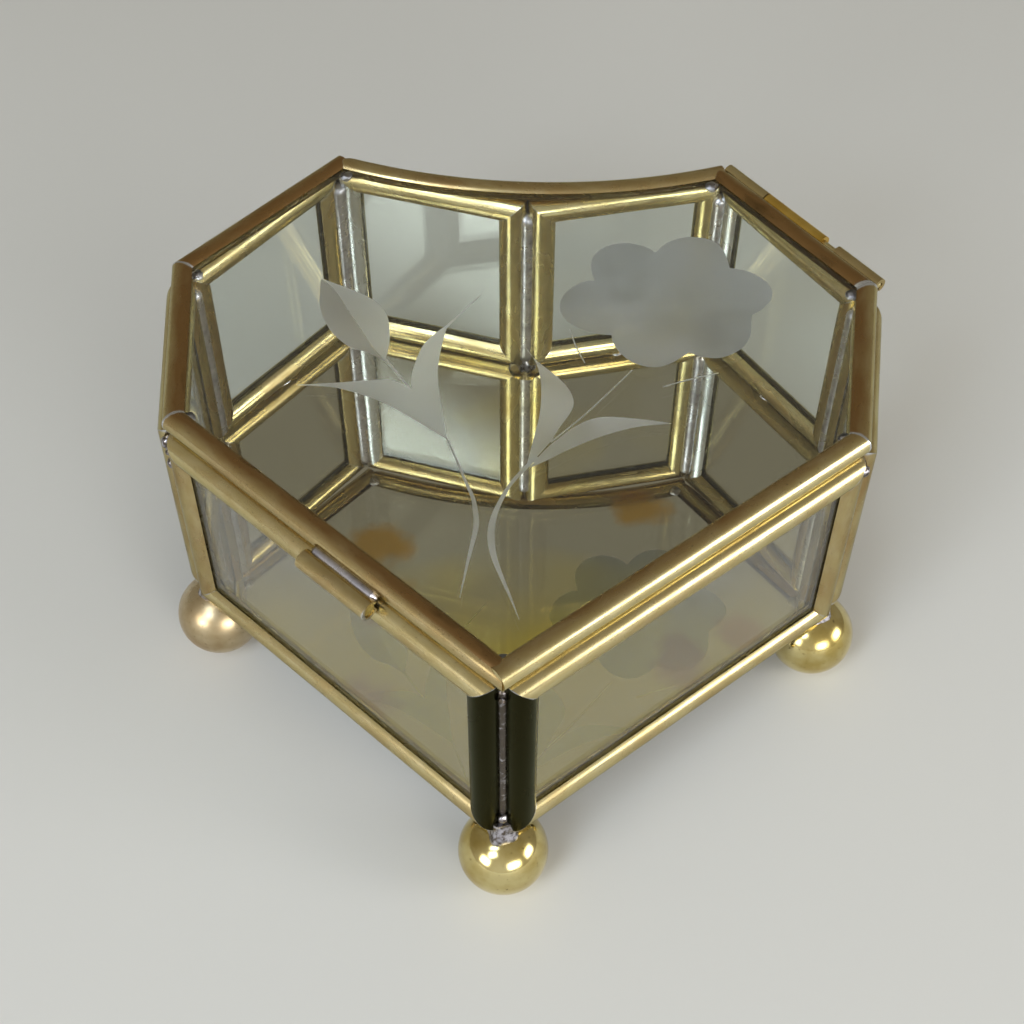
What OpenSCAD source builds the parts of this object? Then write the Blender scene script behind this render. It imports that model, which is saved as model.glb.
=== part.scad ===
// Heart-shaped glass casket box.
// Eight glass walls, each bound in its own frame of slotted round channel, are soldered edge to
// edge over a mirror floor and stand on four brass balls. A flat glass lid, bound in lighter
// channel, turns on a three-knuckle hinge along the back right wall.
// Millimetres, +Z up, +Y towards the notch. The origin is on the table, under the middle of the
// heart. Corners and walls are counted anticlockwise from the front point.

/* [Heart plan, to the middle of the wall glass] */
// Front point, forward of the middle
front_reach = 45.6; // [42:0.2:49]
// Front side corners, sideways from the middle
front_corner_x = 46.6; // [44:0.2:49]
// Front side corners, forward of the middle
front_corner_reach = 6.2; // [2:0.2:10]
// Back side corners, sideways from the middle
back_corner_x = 50.0; // [47.6:0.2:53]
// Back side corners, behind the middle
back_corner_y = 23.0; // [19:0.2:27]
// Lobe corners, sideways from the middle
lobe_x = 30.3; // [27:0.2:34]
// Lobe corners, behind the middle
lobe_y = 48.8; // [46:0.2:53]
// Notch corner, behind the middle
notch_y = 41.4; // [38:0.2:44]

/* [Walls] */
// Height of a wall frame over its channel
wall_h = 35.5; // [28:0.5:44]
// Diameter of the wall channel
channel_d = 4.4; // [4:0.1:5]
// Metal thickness of the wall channel
channel_wall = 0.45; // [0.3:0.05:0.5]
// Thickness of the wall glass
pane_t = 2.0; // [1.6:0.1:2.2]
// How far the glass reaches past the channel's own axis
pane_bite = 1.1; // [0.6:0.1:1.2]
// Play on each face of the glass in its slot
slot_play = 0.05; // [0.02:0.01:0.1]
// Gap between two frames at a corner, which the solder closes
seam_gap = 0.1; // [0.05:0.05:0.4]

/* [Floor and feet] */
// Diameter of a ball foot
foot_d = 12.7; // [10:0.1:14]
// Depth of the flat that lets a ball stand
foot_flat = 0.1; // [0.05:0.05:0.4]
// Solder height between a ball and the frames
foot_gap = 1.1; // [0.6:0.1:2]
// How far a ball stands in from its corner
foot_inset = 1.2; // [0.6:0.1:2]
// Thickness of the mirror floor
mirror_t = 1.5; // [1:0.1:2]
// Gap between the mirror floor and the frames that stand on it
mirror_play = 0.1; // [0.05:0.05:0.3]
// How far the mirror's edge lies in from the middle of the wall glass
mirror_inset = 0.7; // [0.4:0.1:1.2]
// Clearance of the mirror's nipped corners round feet and solder
mirror_relief = 0.3; // [0.2:0.1:0.6]

/* [Lid] */
// Diameter of the lid channel
lid_channel_d = 3.5; // [3.2:0.1:4.2]
// Metal thickness of the lid channel
lid_channel_wall = 0.4; // [0.3:0.05:0.5]
// Thickness of the lid glass
lid_pane_t = 2.0; // [1.5:0.1:2.1]
// How far the lid glass reaches past its channel's axis
lid_pane_bite = 0.7; // [0.4:0.1:0.8]
// How far the lid channel's axis lies inside the glass of the front walls
lid_inset_front = 0.6; // [0.2:0.1:1.4]
// How far it lies inside the glass of the side walls
lid_inset_side = 0.9; // [0.2:0.1:1.4]
// How far it lies inside the glass of the back walls at their side corners
lid_inset_back = 0.9; // [0.2:0.1:1.4]
// How far it lies inside the glass of the back walls at the lobes
lid_inset_lobe = 2.8; // [1:0.1:3.2]
// How far it lies inside the glass of the notch walls at the lobes
lid_inset_notch = 1.9; // [1:0.1:2.6]
// Gap between the closed lid and the walls
lid_gap = 0.25; // [0.2:0.05:0.5]
// How far behind the notch corner the lid's curved rail passes
lid_notch_overhang = 0.3; // [0:0.1:1]
// How far the curved rail's end stands past the hinge rail's axis
notch_rail_proud = 1.0; // [0.4:0.1:1.2]
// How far a lapped rail stands past its corner, over the next rail
lid_rail_lap = 0.5; // [0.3:0.1:1]
// Gap where one lid rail is fitted round the next
cope_play = 0.03; // [0.02:0.01:0.1]

/* [Hinge] */
// Diameter of a hinge knuckle
knuckle_d = 2.3; // [2.1:0.1:3.2]
// Diameter of the hinge pin
pin_d = 1.0; // [0.8:0.1:1.2]
// Radial running clearance of the pin
pin_play = 0.05; // [0.02:0.01:0.08]
// Clearance of the knuckles from the wall and lid channels
knuckle_clear = 0.2; // [0.15:0.05:0.4]
// Length of the box knuckle at the lobe end
knuckle_lobe_l = 8.4; // [6:0.2:10]
// Length of the lid knuckle
knuckle_lid_l = 12.0; // [10:0.2:14]
// Length of the box knuckle at the side end
knuckle_side_l = 8.8; // [6:0.2:9]
// Play between the lid knuckle and the lobe knuckle
knuckle_end_play = 0.2; // [0.1:0.05:0.5]
// Length of pin that shows before the side knuckle
pin_show = 2.6; // [0.5:0.1:3]
// How far the hinge runs on past the lid rail's end at the lobe
hinge_overrun = 0.6; // [0:0.1:1]

/* [Thumb tab] */
// Length of the thumb tab
tab_l = 12.2; // [9:0.2:18]
// Diameter of the thumb tab
tab_d = 2.8; // [2.4:0.1:3.6]
// Metal thickness of the thumb tab
tab_wall = 0.4; // [0.3:0.05:0.5]
// Width of the slot along the back of the tab
tab_slot = 1.2; // [0.8:0.1:1.6]
// How far the tab lies from the middle of its rail, towards the front point
tab_offset = 4.6; // [0:0.2:12]
// Height of the tab's axis above the top of the walls
tab_rise = 0.4; // [0:0.1:0.6]
// Clearance between the tab and the wall channel
tab_clear = 0.25; // [0.2:0.05:0.6]
// Thickness of the solder that carries the tab
tab_solder_t = 1.1; // [0.6:0.1:1.4]

/* [Solder] */
// Radius of the bead on the outside of a corner
seam_out_r = 0.7; // [0.5:0.1:0.9]
// How far that bead lies below the faces of the two channels
seam_out_sink = 0.5; // [0.3:0.1:0.7]
// Radius of the bead on the inside of a corner
seam_in_r = 1.3; // [1:0.1:1.6]
// How far that bead lies below the faces of the two channels
seam_in_sink = 0.1; // [0:0.1:0.4]
// Radius of the lump on a ball foot
foot_lump_r = 1.9; // [1.4:0.1:2.3]
// Radius of the dots that hold the mirror floor
floor_dot_r = 1.3; // [1.1:0.1:1.6]
// How far the hinge's solder beads swell past the gap that they fill
hinge_bead_r = 0.45; // [0.3:0.05:0.6]
// How far those beads stop short of a knuckle's ends
hinge_bead_end = 1.2; // [0.5:0.1:2]
// Radius of the dots under the lid's corners
lid_dot_r = 1.0; // [0.7:0.1:1.2]

/* [Hidden] */
$fn = 48;

brass = [0.66, 0.52, 0.30];
bright_brass = [0.80, 0.66, 0.36];
solder = [0.62, 0.62, 0.62];
clear_glass = [0.72, 0.80, 0.78, 0.35];
silvered_glass = [0.75, 0.74, 0.66];
eps = 0.01;

// Heights
foot_z = foot_d / 2 - foot_flat;
frame_bottom = foot_d - foot_flat + foot_gap;
frame_top = frame_bottom + wall_h;
channel_r = channel_d / 2;
low_rail_z = frame_bottom + channel_r;
high_rail_z = frame_top - channel_r;
mirror_top = frame_bottom - mirror_play;
lid_r = lid_channel_d / 2;
reach = 4 * lid_channel_d;
lid_z = frame_top + lid_gap + lid_r;

// Plane geometry
function unit(v) = v / norm(v);
function turned_right(v) = [v.y, -v.x];
function at(ring, i) = ring[(i + len(ring)) % len(ring)];
function along(ring, i) = unit(at(ring, i + 1) - at(ring, i));
function outward(ring, i) = turned_right(along(ring, i));
function span(ring, i) = norm(at(ring, i + 1) - at(ring, i));
function opening_angle(ring, i) = acos(along(ring, i) * -along(ring, i - 1));
// Corner i moved in by m from the wall before it and by n from the wall after it
function inset(ring, i, m, n) =
    let (a = outward(ring, i - 1), b = outward(ring, i), c = a * b)
    at(ring, i) - ((m - c * n) * a + (n - c * m) * b) / (1 - c * c);
function inset_ring(ring, m) = [for (i = [0 : len(ring) - 1]) inset(ring, i, m, m)];
// Centre of a circle of radius rc that touches two circles given as [centre, radius], on the
// side that lies to the left of the way from the first to the second
function touching(a, b, rc) =
    let (p = a[0], q = b[0], ra = a[1] + rc, rb = b[1] + rc, d = norm(q - p),
         x = (d * d + ra * ra - rb * rb) / (2 * d), h = sqrt(ra * ra - x * x), u = unit(q - p))
    p + x * u - h * turned_right(u);

HEART = [
    [0, -front_reach],
    [front_corner_x, -front_corner_reach], [back_corner_x, back_corner_y], [lobe_x, lobe_y],
    [0, notch_y],
    [-lobe_x, lobe_y], [-back_corner_x, back_corner_y], [-front_corner_x, -front_corner_reach]
];
CORNER_COUNT = len(HEART);
HINGE_RAIL = 2;
TAB_RAIL = 6;
NOTCH_CORNER = 4;
FOOT_CORNERS = [0, 1, NOTCH_CORNER, 7];
DOT_WALLS = [1, 2, 3, 4, 5, 6];

// Distance along a wall from its corner to the axis of its upright channel
function setback(i) = (channel_r + seam_gap / 2) / sin(opening_angle(HEART, i) / 2);
function foot_centre(i) =
    let (a = outward(HEART, i - 1), b = outward(HEART, i))
    at(HEART, i) - foot_inset * unit(a + b);

// The lid's ring has no notch corner: its curved rail runs from corner 3 to corner 4
LID = [
    inset(HEART, 0, lid_inset_front, lid_inset_front),
    inset(HEART, 1, lid_inset_front, lid_inset_side),
    inset(HEART, 2, lid_inset_side, lid_inset_back),
    inset(HEART, 3, lid_inset_lobe, lid_inset_notch),
    inset(HEART, 5, lid_inset_notch, lid_inset_lobe),
    inset(HEART, 6, lid_inset_back, lid_inset_side),
    inset(HEART, 7, lid_inset_side, lid_inset_front)
];
CURVED_RAIL = 3;
lid_notch_y = notch_y + lid_notch_overhang;
notch_chord = LID[CURVED_RAIL].x;
notch_sag = LID[CURVED_RAIL].y - lid_notch_y;
notch_r = (notch_chord * notch_chord + notch_sag * notch_sag) / (2 * notch_sag);
notch_half_angle = asin(notch_chord / notch_r);

// Places seen along a lid rail, as [inward, up] from the rail's axis in plan. The hinge clears
// the wall at the lobe, where it comes closest to it.
lid_circle = [[0, lid_z], lid_r];
hinge_wall_circle = [[-lid_inset_lobe, high_rail_z], channel_r];
hinge_at = touching(hinge_wall_circle, lid_circle, knuckle_d / 2 + knuckle_clear);
hinge_l = span(LID, HINGE_RAIL);
lobe_knuckle_x = hinge_l + hinge_overrun - knuckle_lobe_l;
lid_knuckle_x = lobe_knuckle_x - knuckle_end_play - knuckle_lid_l;
side_knuckle_x = lid_knuckle_x - pin_show - knuckle_side_l;
// Where the wall's own rail ends, seen along the lid rail
wall_end = at(HEART, HINGE_RAIL + 1) - setback(HINGE_RAIL + 1) * along(HEART, HINGE_RAIL);
wall_end_x = (wall_end - LID[HINGE_RAIL]) * along(LID, HINGE_RAIL);
lobe_bead_l = wall_end_x - hinge_bead_r + hinge_bead_end - lobe_knuckle_x;
tab_z = frame_top + tab_rise;
tab_out = sqrt(pow(channel_r + tab_d / 2 + tab_clear, 2) - pow(tab_z - high_rail_z, 2));
tab_at = [-tab_out - lid_inset_front, tab_z];
tab_x = span(LID, TAB_RAIL) / 2 + tab_offset - tab_l / 2;

// Puts a wall's own frame in place: +X along the wall, +Y into the box
module at_wall(ring, i) {
    d = along(ring, i);
    translate([at(ring, i).x, at(ring, i).y, 0]) rotate([0, 0, atan2(d.y, d.x)]) children();
}

// Section of slotted round channel, with its slot towards +X; a bore of 0 gives the closed rod
module channel_section(d, bore, slot) {
    difference() {
        circle(d = d);
        if (bore > 0) {
            circle(d = bore);
            translate([0, -slot / 2]) square([d, slot]);
        }
    }
}

// A length of channel along +X from x0 to x1, with its slot towards +Y
module level_channel(x0, x1, d, bore, slot) {
    translate([x0, 0, 0]) rotate([90, 0, 90]) linear_extrude(height = x1 - x0)
        channel_section(d, bore, slot);
}

module level_rod(x0, x1, d, p) {
    translate([x0, p.x, p.y]) rotate([0, 90, 0]) cylinder(d = d, h = x1 - x0);
}

// Four rods round a rectangle in the XZ plane, w by h between their axes. At each corner two
// rods share the solid where they would cross, which gives the mitre.
module mitred_rods(w, h, d) {
    for (x = [0, w]) translate([x, 0, 0]) cylinder(d = d, h = h);
    for (z = [0, h]) {
        translate([0, 0, z]) rotate([0, 90, 0]) cylinder(d = d, h = w);
        for (x = [0, w]) translate([x, 0, z]) intersection() {
            cylinder(d = d, h = 2 * d, center = true);
            rotate([0, 90, 0]) cylinder(d = d, h = 2 * d, center = true);
        }
    }
}

// A frame of slotted channel standing in the XZ plane, with its slot all round the inside
module mitred_frame(w, h, d, bore, slot) {
    difference() {
        mitred_rods(w, h, d);
        mitred_rods(w, h, bore);
        translate([0, -slot / 2, 0]) cube([w, slot, h]);
    }
}

module wall_frame(i) {
    color(brass) frame_place(i) mitred_frame(frame_w(i), high_rail_z - low_rail_z, channel_d,
        channel_d - 2 * channel_wall, pane_t + 2 * slot_play);
}

// Width of the frame of wall i between its channels' axes
function frame_w(i) = span(HEART, i) - setback(i) - setback(i + 1);

module frame_place(i) {
    at_wall(HEART, i) translate([setback(i), 0, low_rail_z]) children();
}

// The low rail and uprights of a frame as solid rods, to cut the solder of its feet with
module frame_fill(i) {
    h = high_rail_z - low_rail_z;
    frame_place(i) {
        mitred_side(frame_w(i), channel_d);
        translate([frame_w(i), 0, 0]) rotate([0, -90, 0]) mitred_side(h, channel_d);
        translate([0, 0, h]) rotate([0, 90, 0]) mitred_side(h, channel_d);
    }
}

// A rod along +X, cut at 45 degrees at both ends
module mitred_side(l, d) {
    intersection() {
        rotate([90, 0, 0]) level_channel(-d, l + d, d, 0, 0);
        translate([0, d, 0]) rotate([90, 0, 0]) linear_extrude(height = 2 * d)
            polygon([[-d, -d], [l + d, -d], [l - d, d], [d, d]]);
    }
}

// The top rail of wall i as a plain rod
module wall_rod(i) {
    at_wall(HEART, i)
        level_rod(setback(i), span(HEART, i) - setback(i + 1), channel_d, [0, high_rail_z]);
}

module wall_pane(i) {
    x0 = setback(i) - pane_bite;
    x1 = span(HEART, i) - setback(i + 1) + pane_bite;
    color(clear_glass) at_wall(HEART, i)
        translate([x0, -pane_t / 2, low_rail_z - pane_bite])
            cube([x1 - x0, pane_t, high_rail_z - low_rail_z + 2 * pane_bite]);
}

// Solder in the grooves between the two upright channels of each corner
module corner_solder() {
    color(solder) for (i = [0 : CORNER_COUNT - 1]) {
        a = at(HEART, i) - setback(i) * along(HEART, i - 1);
        b = at(HEART, i) + setback(i) * along(HEART, i);
        out = turned_right(unit(b - a));
        difference() {
            union() {
                upright((a + b) / 2 + (channel_r - seam_out_sink - seam_out_r) * out, seam_out_r);
                upright((a + b) / 2 - (channel_r - seam_in_sink - seam_in_r) * out, seam_in_r);
            }
            for (p = [a, b]) translate([p.x, p.y, 0])
                cylinder(d = channel_d, h = frame_top + channel_d);
        }
    }
}

module upright(p, r) {
    translate([p.x, p.y, low_rail_z]) cylinder(r = r, h = high_rail_z - low_rail_z);
}

// Radius that a ball foot still has at the underside of the mirror floor
foot_r = foot_d / 2;
ball_r_at_mirror = sqrt(max(eps, foot_r * foot_r - pow(mirror_top - mirror_t - foot_z, 2)));

module floor_blank(grow) {
    linear_extrude(height = mirror_t) polygon(inset_ring(HEART, mirror_inset - grow));
}

module floor_mirror() {
    nip_r = max(foot_lump_r, ball_r_at_mirror) + mirror_relief;
    color(silvered_glass) difference() {
        translate([0, 0, mirror_top - mirror_t]) floor_blank(0);
        for (i = FOOT_CORNERS) translate([foot_centre(i).x, foot_centre(i).y, 0])
            cylinder(r = nip_r, h = frame_bottom);
    }
}

// Dots that bridge the mirror's edge and the underside of the frames
module floor_solder() {
    color(solder) for (i = DOT_WALLS) difference() {
        at_wall(HEART, i)
            translate([span(HEART, i) / 2, mirror_inset / 2, mirror_top - mirror_t / 2])
                sphere(r = floor_dot_r);
        translate([0, 0, mirror_top - mirror_t]) floor_blank(0);
        at_wall(HEART, i) level_rod(0, span(HEART, i), channel_d, [0, low_rail_z]);
    }
}

module foot(i) {
    color(bright_brass) difference() {
        translate([foot_centre(i).x, foot_centre(i).y, foot_z]) sphere(d = foot_d);
        translate([foot_centre(i).x - foot_d, foot_centre(i).y - foot_d, -foot_d])
            cube([2 * foot_d, 2 * foot_d, foot_d]);
    }
}

// Lump of solder between each ball and the frame corners above it
module foot_solder() {
    color(solder) for (i = FOOT_CORNERS) difference() {
        translate([foot_centre(i).x, foot_centre(i).y, foot_z])
            cylinder(r = foot_lump_r, h = low_rail_z - foot_z);
        translate([foot_centre(i).x, foot_centre(i).y, foot_z]) sphere(d = foot_d);
        frame_fill(i - 1);
        frame_fill(i);
    }
}

// Lid glass: the lid's ring grown into the channels, hollowed along the notch
module lid_pane() {
    color(clear_glass) difference() {
        translate([0, 0, lid_z - lid_pane_t / 2]) linear_extrude(height = lid_pane_t)
            polygon(inset_ring(LID, -lid_pane_bite));
        translate([0, lid_notch_y + notch_r, lid_z - lid_pane_t])
            cylinder(r = notch_r - lid_pane_bite, h = 2 * lid_pane_t, $fn = 180);
    }
}

// Half space that trims a lid rail along the line that halves the corner's angle; what stands
// no further than keep past the corner stays
module mitre_cut(x, angle, side, keep) {
    translate([x, 0, 0]) intersection() {
        rotate([0, 0, angle]) translate([-reach / 2, side > 0 ? 0 : -reach, -lid_channel_d])
            cube([reach, reach, 2 * lid_channel_d]);
        translate([side > 0 ? -keep - reach : keep, -reach / 2, -lid_channel_d])
            cube([reach, reach, 2 * lid_channel_d]);
    }
}

// Straight lid rail i. An end is "mitred" at its corner, "lapped" a little over the next rail,
// "hollowed" to take the next rail's lap, or "coped" round the next rail.
module lid_rail(i, start, end) {
    l = span(LID, i);
    start_angle = opening_angle(LID, i) / 2;
    end_angle = opening_angle(LID, i + 1) / 2;
    color(brass) difference() {
        at_wall(LID, i) translate([0, 0, lid_z]) difference() {
            level_channel(-lid_channel_d, l + (end == "coped" ? 0 : lid_channel_d),
                lid_channel_d, lid_channel_d - 2 * lid_channel_wall, lid_pane_t + 2 * slot_play);
            mitre_cut(0, start_angle, 1, start == "lapped" ? lid_rail_lap : -reach / 2);
            if (end != "coped") mitre_cut(l, 180 - end_angle, -1, -reach / 2);
        }
        if (end == "hollowed" || end == "coped") rail_envelope(i + 1);
    }
}

// The space that a lid rail and its fitting gap take up, as far as its lap
module rail_envelope(i) {
    d = lid_channel_d + 2 * cope_play;
    if (i == CURVED_RAIL)
        curved_rail(d, 0, lid_r);
    else
        at_wall(LID, i) level_rod(-lid_rail_lap - cope_play, span(LID, i), d, [0, lid_z]);
}

// Curved channel over the notch, which runs on past the hinge rail by the length given
module curved_rail(d, bore, proud) {
    translate([0, lid_notch_y + notch_r, lid_z]) rotate([0, 0, -90 - notch_half_angle])
        rotate_extrude(angle = 2 * notch_half_angle + proud / notch_r * 180 / PI, $fn = 180)
            translate([notch_r, 0]) channel_section(d, bore, lid_pane_t + 2 * slot_play, $fn = 48);
}

module lid_rail_notch() {
    color(brass) difference() {
        curved_rail(lid_channel_d, lid_channel_d - 2 * lid_channel_wall, notch_rail_proud);
        rail_envelope(CURVED_RAIL + 1);
    }
}

// Dots of solder under the lid's corners, between the rails that meet there
module lid_solder() {
    inner = inset_ring(LID, lid_r);
    color(solder) for (i = [0 : len(LID) - 1]) difference() {
        translate([inner[i].x, inner[i].y, lid_z - lid_pane_t / 2 - slot_play])
            intersection() {
                sphere(r = lid_dot_r);
                translate([-lid_dot_r, -lid_dot_r, -lid_dot_r - eps])
                    cube([2 * lid_dot_r, 2 * lid_dot_r, lid_dot_r]);
            }
        rail_envelope(i - 1);
        rail_envelope(i);
    }
}

module knuckle(x, l) {
    at_wall(LID, HINGE_RAIL) difference() {
        level_rod(x, x + l, knuckle_d, hinge_at);
        level_rod(x - eps, x + l + eps, pin_d + 2 * pin_play, hinge_at);
    }
}

module hinge_pin() {
    color(brass) at_wall(LID, HINGE_RAIL)
        level_rod(side_knuckle_x, lobe_knuckle_x + knuckle_lobe_l, pin_d, hinge_at);
}

// How far outside the wall's own line the hinge axis passes, at a place x along the lid rail
function hinge_out(x) =
    -hinge_at.x - lid_inset_back + (lid_inset_back - lid_inset_lobe) * x / hinge_l;

// Bead along the hinge that fills the gap between a knuckle and the channel centred at p
module knuckle_bead(x, l, p, r) {
    gap = norm(p - hinge_at) - r - knuckle_d / 2;
    u = unit(p - hinge_at);
    level_rod(x + hinge_bead_end, x + l - hinge_bead_end, gap + 2 * hinge_bead_r,
        hinge_at + (knuckle_d / 2 + gap / 2) * u);
}

module hinge_solder_box() {
    color(solder) difference() {
        at_wall(LID, HINGE_RAIL) {
            knuckle_bead(side_knuckle_x, knuckle_side_l,
                [hinge_at.x + hinge_out(side_knuckle_x + knuckle_side_l / 2), high_rail_z], channel_r);
            knuckle_bead(lobe_knuckle_x, lobe_bead_l,
                [hinge_at.x + hinge_out(lobe_knuckle_x + lobe_bead_l / 2), high_rail_z], channel_r);
        }
        at_wall(LID, HINGE_RAIL)
            level_rod(side_knuckle_x, lobe_knuckle_x + knuckle_lobe_l, knuckle_d, hinge_at);
        wall_rod(HINGE_RAIL);
    }
}

module hinge_solder_lid() {
    color(solder) at_wall(LID, HINGE_RAIL) difference() {
        knuckle_bead(lid_knuckle_x, knuckle_lid_l, lid_circle[0], lid_r);
        level_rod(lid_knuckle_x, lid_knuckle_x + knuckle_lid_l, knuckle_d, hinge_at);
        level_rod(lid_knuckle_x, lid_knuckle_x + knuckle_lid_l, lid_channel_d, lid_circle[0]);
    }
}

// Short slotted tube that the thumb lifts, with its slot towards the wall
module thumb_tab() {
    color(bright_brass) at_wall(LID, TAB_RAIL) translate([0, tab_at.x, tab_at.y])
        level_channel(tab_x, tab_x + tab_l, tab_d, tab_d - 2 * tab_wall, tab_slot);
}

module thumb_tab_solder() {
    link = lid_circle[0] - tab_at;
    color(solder) at_wall(LID, TAB_RAIL) difference() {
        translate([tab_x + tab_wall, tab_at.x, tab_at.y]) rotate([atan2(link.y, link.x), 0, 0])
            translate([0, 0, -tab_solder_t / 2])
                cube([tab_l - 2 * tab_wall, norm(link), tab_solder_t]);
        level_rod(tab_x, tab_x + tab_l, tab_d, tab_at);
        level_rod(tab_x, tab_x + tab_l, lid_channel_d, lid_circle[0]);
    }
}

wall_frame(0);  // front_right_frame
wall_frame(1);  // right_frame
wall_frame(2);  // back_right_frame
wall_frame(3);  // notch_right_frame
wall_frame(4);  // notch_left_frame
wall_frame(5);  // back_left_frame
wall_frame(6);  // left_frame
wall_frame(7);  // front_left_frame
wall_pane(0);  // front_right_pane
wall_pane(1);  // right_pane
wall_pane(2);  // back_right_pane
wall_pane(3);  // notch_right_pane
wall_pane(4);  // notch_left_pane
wall_pane(5);  // back_left_pane
wall_pane(6);  // left_pane
wall_pane(7);  // front_left_pane
corner_solder();
floor_mirror();
floor_solder();
foot(0);  // front_foot
foot(1);  // right_foot
foot(NOTCH_CORNER);  // rear_foot
foot(7);  // left_foot
foot_solder();
color(brass) knuckle(side_knuckle_x, knuckle_side_l);  // hinge_knuckle_side
color(brass) knuckle(lobe_knuckle_x, knuckle_lobe_l);  // hinge_knuckle_lobe
hinge_pin();
hinge_solder_box();
lid_pane();
lid_rail(0, "lapped", "mitred");  // lid_rail_front_right
lid_rail(1, "mitred", "mitred");  // lid_rail_right
lid_rail(2, "mitred", "coped");  // lid_rail_back_right
lid_rail_notch();
lid_rail(4, "lapped", "mitred");  // lid_rail_back_left
lid_rail(5, "mitred", "mitred");  // lid_rail_left
lid_rail(6, "mitred", "hollowed");  // lid_rail_front_left
lid_solder();
color(bright_brass) knuckle(lid_knuckle_x, knuckle_lid_l);  // hinge_knuckle_lid
hinge_solder_lid();
thumb_tab();
thumb_tab_solder();
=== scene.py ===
"""Looks of the heart-shaped glass casket box: brass channel, clear glass, mirror and solder.

Lengths are written in millimetres and turned to metres where they reach Blender.
"""

from __future__ import annotations

import logging
import math
from dataclasses import dataclass, field
from enum import Enum
from typing import Callable, Sequence, Union
import bpy
from mathutils import Matrix, Vector, noise
from mathutils.geometry import tessellate_polygon


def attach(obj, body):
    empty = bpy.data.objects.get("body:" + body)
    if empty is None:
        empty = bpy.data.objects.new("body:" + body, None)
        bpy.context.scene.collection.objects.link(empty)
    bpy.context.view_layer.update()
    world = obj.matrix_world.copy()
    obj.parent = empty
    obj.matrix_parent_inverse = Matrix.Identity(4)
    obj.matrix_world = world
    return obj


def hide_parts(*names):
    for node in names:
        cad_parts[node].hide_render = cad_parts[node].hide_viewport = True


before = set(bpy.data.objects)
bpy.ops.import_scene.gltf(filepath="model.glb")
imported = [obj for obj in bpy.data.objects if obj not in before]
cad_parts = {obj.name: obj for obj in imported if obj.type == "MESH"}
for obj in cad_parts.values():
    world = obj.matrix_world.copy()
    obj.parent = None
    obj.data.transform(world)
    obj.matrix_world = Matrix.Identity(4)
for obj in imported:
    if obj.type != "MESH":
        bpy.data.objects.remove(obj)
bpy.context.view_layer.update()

LOG = logging.getLogger("casket_box")
MM = 0.001
UP = Vector((0.0, 0.0, 1.0))
BOX = "box"
LID = "lid"

Point = tuple[float, float]
# How far a channel's end stops short, at a place given towards its slot and across it
Cut = Callable[[float, float], float]


# ---------------------------------------------------------------------------------------------
# Plan of the box
# ---------------------------------------------------------------------------------------------


@dataclass(frozen=True)
class Ring:
    """Closed run of corners in plan, counted anticlockwise from the front point."""

    corners: tuple[Point, ...]

    def at(self, i: int) -> Vector:
        """Corner i, counted on round the ring."""
        return Vector(self.corners[i % len(self.corners)])

    def along(self, i: int) -> Vector:
        """Direction from corner i to the next."""
        return (self.at(i + 1) - self.at(i)).normalized()

    def outward(self, i: int) -> Vector:
        """Direction out of the ring, square to side i."""
        d = self.along(i)
        return Vector((d.y, -d.x))

    def span(self, i: int) -> float:
        """Length of side i."""
        return (self.at(i + 1) - self.at(i)).length

    def opening(self, i: int) -> float:
        """Angle between the two sides that meet at corner i, in radians."""
        return math.acos(max(-1.0, min(1.0, -self.along(i).dot(self.along(i - 1)))))

    def inset(self, i: int, before: float, after: float) -> Vector:
        """Moves corner i inwards.

        Args:
            i: Corner to move.
            before: Distance from the side before it.
            after: Distance from the side after it.

        Returns:
            The moved corner.
        """
        a, b = self.outward(i - 1), self.outward(i)
        c = a.dot(b)
        return self.at(i) - ((before - c * after) * a + (after - c * before) * b) / (1 - c * c)


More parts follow.
